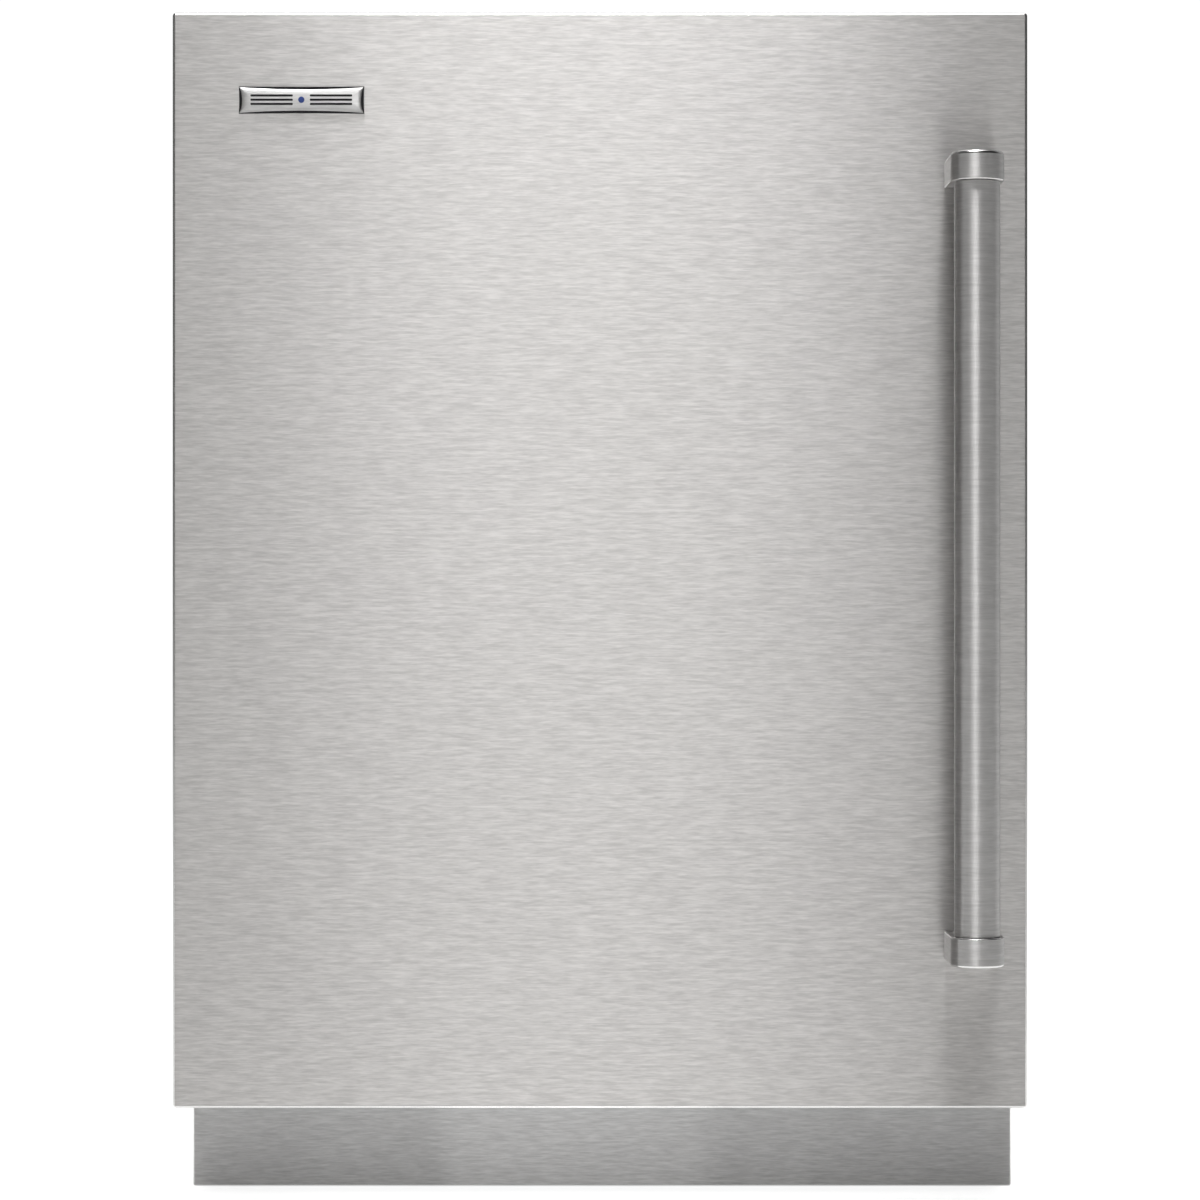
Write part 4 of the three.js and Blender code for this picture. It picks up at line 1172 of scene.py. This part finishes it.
def control_panel():
    """The ceiling console: a housing with pockets for its keys and its display."""
    low, high = box("control_panel")
    window = box("display_window")
    outline = [
        (low.y, high.z), (low.y, low.z + 4), (low.y + 5, low.z),
        (high.y, low.z + 8), (high.y, high.z),
    ]
    shape = Shape().prism("yz", outline, low.x, high.x)
    pockets = Shape()
    for name in BUTTON_BODIES:
        key_low, key_high = box(name)
        middle = (key_low + key_high) / 2
        radius = (key_high.x - key_low.x) / 2 + 0.4
        rim = [(radius, -2), (radius, key_high.y - key_low.y + 2)]
        pockets.lathe(rim, (middle.x, key_low.y, middle.z), "xz", 32)
    grown = Vector((TOUCH, TOUCH, TOUCH))
    pocket_low = window[0] - grown
    pockets.block((pocket_low.x, low.y - 2, pocket_low.z), window[1] + grown, 0.2, 1.2, "xz")
    look = ("black_plastic", BLACK_PLASTIC)
    make("control_housing", shape, "cabinet", *look, "control_panel", cuts=pockets, bevel=0.9)
    shape = Shape().block(*window, 0.3, 1.0, "xz")
    make("display_pane", shape, "cabinet", "display", DISPLAY, "display_window")
    digits = Shape()
    middle = (window[0] + window[1]) / 2
    face = window[0].y - 0.08
    for digit, across in (("3", -7), ("8", 3)):
        add_digit(digits, digit, middle.x + across, middle.z, 4.4, face)
    ring = [(1.3, 0.0), (1.3, 0.3), (0.7, 0.3), (0.7, 0.0)]
    degree = (middle.x + 10.5, face, middle.z + 3.6)
    digits.lathe(ring, degree, "xz", 20, loop=True)
    make("display_digits", digits, "cabinet", "display", DIGIT_GLOW)


def buttons():
    """Dished metal keys with a raised ring, a minus and a plus."""
    for name, body in BUTTON_BODIES.items():
        low, high = box(name)
        radius = (high.x - low.x) / 2
        middle = (low + high) / 2
        depth = high.y - low.y
        profile = [
            (0.1, 0.35), (2.0, 0.3), (radius - 1.2, 0.12),
            (radius - 0.8, 0.0), (radius - 0.3, 0.12), (radius, 0.5),
            (radius, depth - 0.3), (radius - 0.3, depth), (0.1, depth),
        ]
        shape = Shape().lathe(profile, (middle.x, low.y, middle.z), "xz", 36)
        make(name + "_cap", shape, body, "aluminium", BUTTON_METAL, name)
        mark = Shape()
        reach, thick, face = 2.0, 0.28, low.y + 0.15
        power = name == "power_button"
        lift, size = (reach * 0.6, 0.7) if power else (0.0, 1.0)
        for bar in BUTTON_BARS[name]:
            dx, dz = (reach, thick) if bar == "wide" else (thick, reach)
            mark_low = (middle.x - dx, face, middle.z + lift - dz * size)
            mark_high = (middle.x + dx, face + 0.5, middle.z + lift + dz * size)
            mark.block(mark_low, mark_high, 0.05, 0.25, "xz")
        if power:
            points = arc(reach, 125, 415, 22, (middle.x, middle.z))
            mark.tube([(x, face + 0.2, z) for x, z in points], 0.26, 8)
        make(name + "_mark", mark, body, "black_plastic", DARK_INLAY_AND_SHADE)


def light_lens():
    """A ribbed diffuser under the ceiling light."""
    low, high = box("light_lens")
    shape = Shape().block(low, high, 1.6, 6, "xy", 4)
    count = 42
    for i in range(count):
        x = low.x + 8 + (high.x - low.x - 16) * i / (count - 1)
        rib_low = (x - 1.6, low.y + 4, low.z - 0.6)
        shape.block(rib_low, (x + 1.6, high.y - 4, low.z + 1), 0.6)
    make("lens_diffuser", shape, "cabinet", "diffuser", DIFFUSER, "light_lens")


shelf_rails()
shelves()
crisper()
control_panel()
buttons()
light_lens()

# ---- evaporator --------------------------------------------------------------------------------
def fan_wheel(centre, plane, hub, tip, depth, blades):
    """An axial fan: a domed hub and blades that flatten and widen towards the tip."""
    u, v, w = (centre[i] for i in PLANES[plane])
    half = depth / 2
    profile = [
        (0.1, -half), (hub * 0.6, -half * 0.98), (hub * 0.9, -half * 0.8), (hub, -half * 0.5),
        (hub, half * 0.9), (hub * 0.95, half), (0.1, half),
    ]
    shape = Shape().lathe(profile, centre, plane, 40)
    sections, across = 9, 7
    for blade in range(blades):
        base = 2 * math.pi * blade / blades
        rings = []
        for section in range(sections):
            t = section / (sections - 1)
            radius = hub * 0.93 + (tip - hub * 0.93) * t
            pitch = math.radians(44 - 21 * t)
            chord = min(1.7 * half / math.sin(pitch), radius * 2 * math.pi / blades * 0.82)
            chord *= 1 - 0.45 * max(0.0, (t - 0.86) / 0.14) ** 2
            thick = (1.1 - 0.5 * t) * depth * 0.055
            sweep = 0.28 * t * t
            edge = []
            for side in (1, -1):
                for k in range(across):
                    s = k / (across - 1) - 0.5
                    s = s * side
                    camber = 0.09 * chord * (1 - 4 * s * s)
                    swell = thick * math.sqrt(max(0.0, 1 - (2 * s) ** 2)) * side
                    along = s * chord
                    rise = along * math.sin(pitch) + (camber + swell) * math.cos(pitch)
                    turn = (along * math.cos(pitch) - (camber + swell) * math.sin(pitch)) / radius
                    rise = max(min(rise, half), -half)
                    edge.append(polar(plane, u, v, radius, base + sweep + turn, w + rise))
            rings.append(edge)
        shape.loft(rings)
    return shape


def evaporator_cover():
    low, high = box("evaporator_cover")
    sheet = 2
    shape = Shape().block(low, high, 4, 9, "xz", 4)
    cuts = Shape()
    hollow_low = (low.x + sheet, low.y + sheet, low.z + sheet)
    cuts.block(hollow_low, (high.x - sheet, high.y + 5, high.z - sheet), 1)
    front, inside = low.y - 2, low.y + sheet + 2
    for x in (-150, -90, -30, 30, 90, 150):
        for z in (17, 31, 420):
            slot_high = (x + 24, inside, low.z + z + 3)
            cuts.block((x - 24, front, low.z + z - 3), slot_high, 0.2, 2.9, "xz")
    fan = box("evaporator_fan")
    fan_z = (fan[0].z + fan[1].z) / 2
    for row in range(-3, 4):
        drop = row * 12
        half = math.sqrt(46**2 - drop**2)
        slot_low = (-half, front, fan_z + drop - 3.6)
        cuts.block(slot_low, (half, inside, fan_z + drop + 3.6), 0.2, 3.5, "xz")
    look = ("liner_plastic", DUCT_PLASTIC)
    make("duct_cover", shape, "cabinet", *look, "evaporator_cover", cuts=cuts)
    rim = [(49.0, 0.6), (49.4, -1.2), (50.4, -1.8), (52.0, -1.8), (53.0, -1.2), (53.4, 0.6)]
    shape = Shape().lathe(rim, (0.0, low.y, fan_z), "xz", 64, loop=True)
    for angle in (0, 60, 120):
        (u, v), *_ = arc(49.5, angle, angle, 1)
        ends = [(side * u, low.y - 0.2, fan_z + side * v) for side in (-1, 1)]
        shape.tube(ends, 1.1, 10)
    make("fan_guard", shape, "cabinet", *look)
    xs, zs = (low.x + 14, high.x - 14), (low.z + 60, high.z - 60, (low.z + high.z) / 2)
    screws_of("duct_screws", "xz", xs, zs, low.y, -1, "aluminium", proud=1.2)


def add_bends(shape, plane, rows, cross, ends, radius):
    """Half-round bends that join each pair of tubes, by turns at either end."""
    for index in range(len(rows) - 1):
        end, out = (ends[1], 1) if index % 2 == 0 else (ends[0], -1)
        middle = (rows[index] + rows[index + 1]) / 2
        half = (rows[index + 1] - rows[index]) / 2
        reach = min(half, 12)
        path = []
        for step in range(13):
            turn = math.pi * (step / 12 - 0.5)
            along = end + out * reach * (math.cos(turn) - 1)
            height = middle + half * math.sin(turn)
            path.append((along, cross, height) if plane == "x" else (cross, along, height))
        shape.tube(path, radius, 12)


def fin_bank(name, node, plane, count, rows, crosses, radius, thick, slot, look):
    """Thin collared fins on rows of tubes joined by bends."""
    low, high = box(node)
    fins, tubes = Shape(), Shape()
    along = 0 if plane == "x" else 1
    margin = 14
    for i in range(count):
        at = low[along] + margin + (high[along] - low[along] - 2 * margin) * i / (count - 1)
        fin_low, fin_high = list(low), list(high)
        fin_low[along], fin_high[along] = at - thick / 2, at + thick / 2
        fins.block(fin_low, fin_high, 0.1, 1.5, "yz" if plane == "x" else "xz", 1)
    ends = (low[along] + radius, high[along] - radius)
    inset = min(12, abs(rows[1] - rows[0]) / 2)
    for cross in crosses:
        for z in rows:
            path = [(ends[0] + inset, cross, z), (ends[1] - inset, cross, z)]
            if plane == "y":
                path = [(y, x, z) for x, y, z in path]
            tubes.tube(path, radius, 14)
        add_bends(tubes, plane, rows, cross, ends, radius)
    make(name + "_fins", fins, "cabinet", slot, look, node)
    make(name + "_tubes", tubes, "cabinet", slot, look)


def evaporator():
    low, high = box("evaporator_coil")
    rows = [low.z + 28 + 40 * i for i in range(6)]
    crosses = ((low.y + high.y) / 2,)
    look = ("aluminium", FIN_ALUMINIUM)
    fin_bank("cold_coil", "evaporator_coil", "x", 62, rows, crosses, 4, 0.5, *look)
    low, high = box("evaporator_fan")
    centre = (low + high) / 2
    wheel = fan_wheel(centre, "xz", 13, (high.x - low.x) / 2, high.y - low.y, 5)
    look = ("black_plastic", BLACK_PLASTIC)
    make("cold_fan", wheel, "evaporator_fan_rotor", *look, "evaporator_fan")
    low, high = box("evaporator_fan_motor")
    radius, depth = 17, 11
    profile = [
        (0.1, 0.0), (4, 0.0), (4.4, 0.6), (radius - 2, 0.8), (radius, 2.4),
        (radius, depth - 1), (radius - 1, depth), (0.1, depth),
    ]
    motor = Shape().lathe(profile, (0.0, low.y, centre.z), "xz", 40)
    bridge_low = (low.x, low.y + 9, centre.z - 7)
    motor.block(bridge_low, (high.x, high.y, centre.z + 7), 1, 4, "xz")
    add_screws(motor, "xz", (low.x + 8, high.x - 8), (centre.z,), low.y + 9, -1, proud=1.2)
    make("cold_fan_motor", motor, "cabinet", *look, "evaporator_fan_motor")


evaporator_cover()
evaporator()

# ---- machine bay -------------------------------------------------------------------------------
def compressor():
    """A welded steel dome with a seam, a terminal cover and two copper stubs."""
    low, high = box("compressor")
    radius = (high.y - low.y) / 2
    centre = (low.x + radius, (low.y + high.y) / 2, low.z)
    seam = 74
    tall = high.z - low.z
    profile = [
        (0.1, 0.0), (0.64 * radius, 0.0), (0.86 * radius, 4), (0.96 * radius, 12),
        (0.99 * radius, 24), (radius, seam - 4), (radius + 2.5, seam - 3),
        (radius + 3, seam), (radius + 2.5, seam + 3), (radius - 1, seam + 4),
    ]
    for out, up in arc(1.0, 0, 82, 9):
        profile.append(((radius - 1) * out, 110 + (tall - 110) * up))
    profile.append((0.1, tall))
    shape = Shape().lathe(profile, centre, "xy", 56)
    make("compressor_dome", shape, "cabinet", "black_steel", BLACK_ENAMEL, "compressor")
    cover_low = (centre[0] + 58, centre[1] - 25, low.z + 56)
    cover_high = (high.x, centre[1] + 25, low.z + 106)
    cover = Shape().block(cover_low, cover_high, 4, 8, "yz", 4)
    middle = (cover_low[1] + cover_high[1]) / 2
    clip_low = (high.x - 6, middle - 4, cover_low[2] - 4)
    cover.block(clip_low, (high.x - 3, middle + 4, cover_high[2] + 4), 0.8)
    make("terminal_cover", cover, "cabinet", "black_plastic", BLACK_PLASTIC)
    stubs = Shape()
    for side, lift in ((-1, 70), (1, 92)):
        start = Vector((centre[0] - 30, centre[1] + side * (radius - 12), low.z + lift))
        bend = start + Vector((-6, side * 22, 2))
        tip = bend + Vector((-4, side * 4, 34))
        if side > 0:
            bend = start + Vector((-4, 15, 2))
            tip = bend + Vector((-2, 3, 30))
        stubs.tube(smooth_path([start, (start + bend) / 2, bend, tip], 6), 3.2, 14)
    make("compressor_stubs", stubs, "cabinet", "copper", COPPER)


def compressor_feet():
    low, high = box("compressor_feet")
    plate_high = (high.x, high.y, high.z - 4)
    plate = Shape().block((low.x, low.y, high.z - 8), plate_high, 0.8, 14, "xy")
    for y in (low.y + 42, high.y - 50):
        plate.block((low.x + 12, y, high.z - 5), (high.x - 12, y + 8, high.z - 1), 0.8)
    make("compressor_plate", plate, "cabinet", "galvanised", ZINC, "compressor_feet")
    grommets, bolts = Shape(), Shape()
    middle = (low + high) / 2
    tall = high.z - low.z
    profile = [
        (0.1, 0.0), (10.0, 0.0), (10.8, 1.5), (10.8, 4.5), (8.2, 6.0), (8.2, 9.0), (10.0, 10.5),
        (10.0, 17.0), (8.6, 18.6), (8.0, 20.0), (10.2, 21.0), (10.2, 22.4), (0.1, 22.4),
    ]
    stretch = tall / profile[-1][1]
    profile = [(r, h * stretch) for r, h in profile]
    bolt = [(0.1, tall), (6, tall), (6, tall + 3), (5, tall + 4), (0.1, tall + 4)]
    for x in (-80, 80):
        for y in (-53, 53):
            at = (middle.x + x, middle.y + y, low.z)
            grommets.lathe(profile, at, "xy", 28)
            bolts.lathe(bolt, at, "xy", 6)
    make("compressor_grommets", grommets, "cabinet", "black_plastic", BLACK_PLASTIC)
    make("compressor_bolts", bolts, "cabinet", "galvanised", SCREW_STEEL, bevel=0.3)


def condenser():
    low, high = box("condenser_coil")
    rows = [low.z + 24 + 26 * i for i in range(7)]
    quarter = (high.x - low.x) / 4
    crosses = (low.x + quarter, high.x - quarter)
    look = ("black_steel", BLACK_ENAMEL)
    fin_bank("warm_coil", "condenser_coil", "y", 44, rows, crosses, 4.5, 0.7, *look)
    low, high = box("condenser_fan")
    centre = (low + high) / 2
    tip = (high.z - low.z) / 2
    wheel = fan_wheel(centre, "yz", 20, tip, high.x - low.x, 5)
    make("warm_fan", wheel, "condenser_fan_rotor", "black_plastic", BLACK_PLASTIC, "condenser_fan")
    low, high = box("condenser_fan_motor")
    radius = 27
    depth = 38
    profile = [
        (0.1, 0.0), (5, 0.0), (5.5, 1.5), (radius - 6, 2.5),
        (radius - 1, 6), (radius, 9), (radius, 17), (radius - 1.5, 17.5),
        (radius - 1.5, 20.5), (radius, 21), (radius, depth - 5),
        (radius - 4, depth - 1), (radius - 8, depth), (0.1, depth),
    ]
    motor = Shape().lathe(profile, (low.x, centre.y, centre.z), "yz", 44)
    post_low = (low.x + 16, centre.y - 18, low.z)
    motor.block(post_low, (low.x + 19, centre.y + 18, centre.z), 0.8, 6, "yz")
    foot_low = (low.x + 6, low.y, low.z)
    foot_high = (low.x + 36, high.y, low.z + 2.7)
    motor.block(foot_low, foot_high, 0.8, 5, "xy")
    ys = (low.y + 8, high.y - 8)
    add_screws(motor, "xy", (low.x + 27,), ys, low.z + 2.7, 1, radius=4, proud=1.8)
    make("warm_fan_motor", motor, "cabinet", "black_steel", BLACK_ENAMEL, "condenser_fan_motor")


def control_box():
    """A folded box with an overlapping lid, its screws and a cable gland."""
    low, high = box("control_box")
    inner = 1
    case_high = (high.x - inner, high.y - inner, high.z - inner)
    shape = Shape().block((low.x + inner, low.y, low.z + inner), case_high, 1)
    shape.block((low.x, high.y - 12, low.z), high, 1, 2, "xz")
    xs, zs = (low.x + 10, high.x - 10), (low.z + 10, high.z - 10)
    add_screws(shape, "xz", xs, zs, high.y, 1, proud=1.2)
    make("control_case", shape, "cabinet", "galvanised", ZINC, "control_box")
    gland = [(0.1, 2), (9, 2), (9, -5), (7.4, -5.5), (7.4, -9), (6, -11), (0.1, -11)]
    shape = Shape().lathe(gland, ((low.x + high.x) / 2, (low.y + high.y) / 2, low.z), "xy", 24)
    make("control_gland", shape, "cabinet", "black_plastic", BLACK_PLASTIC)


def refrigerant_line():
    """The copper line from the compressor's top, behind the control box, to the condenser."""
    low, high = box("refrigerant_line")
    dome = box("compressor")
    radius = 4
    start_x = dome[0].x + (dome[1].y - dome[0].y) / 2
    start_y = (dome[0].y + dome[1].y) / 2
    back = high.y - radius
    top = high.z - radius
    end_x = low.x + radius
    route = [
        (start_x, start_y, low.z), (start_x, start_y, low.z + 18),
        (start_x - 8, start_y + 30, top - 14), (start_x - 60, back - 4, top - 8),
        (0.0, back, top - 4), (-120, back, top - 2), (end_x + 39, back - 10, top),
        (end_x + 6, back - 32, top - 2), (end_x, back - 40, top - 14),
    ]
    shape = Shape().tube(smooth_path(route, 8), radius, 18)
    make("copper_line", shape, "cabinet", "copper", COPPER, "refrigerant_line")
    drier = [(4.3, -34), (5.2, -32), (9.5, -26), (9.5, 26), (5.2, 32), (4.3, 34)]
    shape = Shape().lathe(drier, (-60, back, top - 2.6), "yz", 28)
    make("filter_drier", shape, "cabinet", "copper", COPPER)


def legs():
    """Threaded levelling feet, with a hexagon to turn them by and a soft pad."""
    pad = [
        (0.1, 0.0), (18.6, 0.0), (20.0, 1.0), (20.0, 3.4), (19.0, 4.6), (12.5, 7.0), (9.2, 8.6),
        (0.1, 8.6),
    ]
    nut = [(0.1, 8.0), (9.6, 8.0), (11.0, 9.0), (11.0, 17.0), (9.6, 18.0), (0.1, 18.0)]
    root, crest, pitch = 5.2, 6.0, 1.5
    for name in ("front_left", "front_right", "rear_left", "rear_right"):
        low, high = box("leg_" + name)
        body, top = "foot_" + name, high.z - low.z
        at = ((low.x + high.x) / 2, (low.y + high.y) / 2, low.z)
        foot = Shape().lathe(pad, at, "xy", 48).lathe(nut, at, "xy", 6)
        make(body + "_pad", foot, body, "black_plastic", BLACK_PLASTIC, "leg_" + name)
        thread = [(0.1, 16), (root, 16)]
        for turn in range(int((top - 18) / pitch)):
            z = 17 + turn * pitch
            thread += [(root, z), (crest, z + pitch * 0.4), (crest, z + pitch * 0.6)]
        thread += [(root, top - 0.6), (4.6, top), (0.1, top)]
        stem = Shape().lathe(thread, at, "xy", 24)
        make(body + "_stem", stem, body, "galvanised", SCREW_STEEL)


compressor()
compressor_feet()
condenser()
control_box()
refrigerant_line()
legs()

# ---- hinges ------------------------------------------------------------------------------------
def pivot():
    low, high = box("top_hinge_pin")
    return (low.x + high.x) / 2, (low.y + high.y) / 2


def hinge_bracket(name, arm, plate, pin=None):
    """A folded bracket: an arm with a round nose about the pivot and a screwed plate."""
    low, high = box(name)
    at = pivot()
    nose = arc(at[1] - low.y, 0, -180, 16, at)
    outline = [(at[0] - 3, high.y), (at[0] + 26, high.y), *nose]
    shape = Shape().prism("xy", outline, *arm)
    plate_low = (low.x, high.y - 3, plate[0])
    shape.block(plate_low, (high.x, high.y, plate[1]), 0.2, 2, "xz")
    if pin:
        shape.lathe([(4, arm[0] + 1), (4, pin)], (*at, 0.0), "xy", 28)
    make(name + "_steel", shape, "cabinet", "hinge_steel", HINGE_STEEL, name, bevel=0.5)
    xs, zs = (high.x - 9, high.x - 31), ((plate[0] + plate[1]) / 2,)
    size = {"radius": 4.2, "proud": 1.6}
    screws_of(name + "_screws", "xz", xs, zs, high.y - 3, -1, "hinge_steel", **size)


def hinges():
    low, high = box("top_hinge_bracket")
    hinge_bracket("top_hinge_bracket", (low.z, low.z + 4), (low.z, high.z))
    low, high = box("bottom_hinge_bracket")
    arm_top = box("bottom_hinge_bush")[0].z - 1
    hinge_bracket("bottom_hinge_bracket", (arm_top - 4, arm_top), (low.z, arm_top), high.z)
    low, high = box("top_hinge_pin")
    stem = [(0.1, low.z), (3.4, low.z), (4, low.z + 0.6), (4, high.z - 3), (0.1, high.z - 3)]
    shape = Shape().lathe(stem, (*pivot(), 0.0), "xy", 28)
    head = [(0.1, high.z - 3.6), (6.5, high.z - 3.6), (6.5, high.z), (0.1, high.z)]
    shape.lathe(head, (*pivot(), 0.0), "xy", 6)
    make("top_pin_bolt", shape, "cabinet", "hinge_steel", HINGE_STEEL, "top_hinge_pin", bevel=0.4)
    for name, up in (("top_hinge_bush", 1), ("bottom_hinge_bush", -1)):
        low, high = box(name)
        face = high.z - 2 if up > 0 else low.z + 2
        deep = low.z if up > 0 else high.z
        profile = [
            (4.3, deep), (6.5, deep), (6.5, face + up * TOUCH), (9, face + up * TOUCH),
            (9, face + up * 1.5), (8.5, face + up * 2), (4.9, face + up * 2),
            (4.3, face + up * 1.4),
        ]
        shape = Shape().lathe(profile, (*pivot(), 0.0), "xy", 32, loop=True)
        make(name + "_sleeve", shape, "door", "black_plastic", BLACK_PLASTIC, name)


hinges()

# ---- CAD pieces that keep their shape ----------------------------------------------------------
finish_node("cabinet_floor", ZINC)
finish_node("foam_insulation", FOAM, 0.0)
finish_node("base_pan", ZINC)
finish_node("air_grille", BLACK_PLASTIC, 0.4)
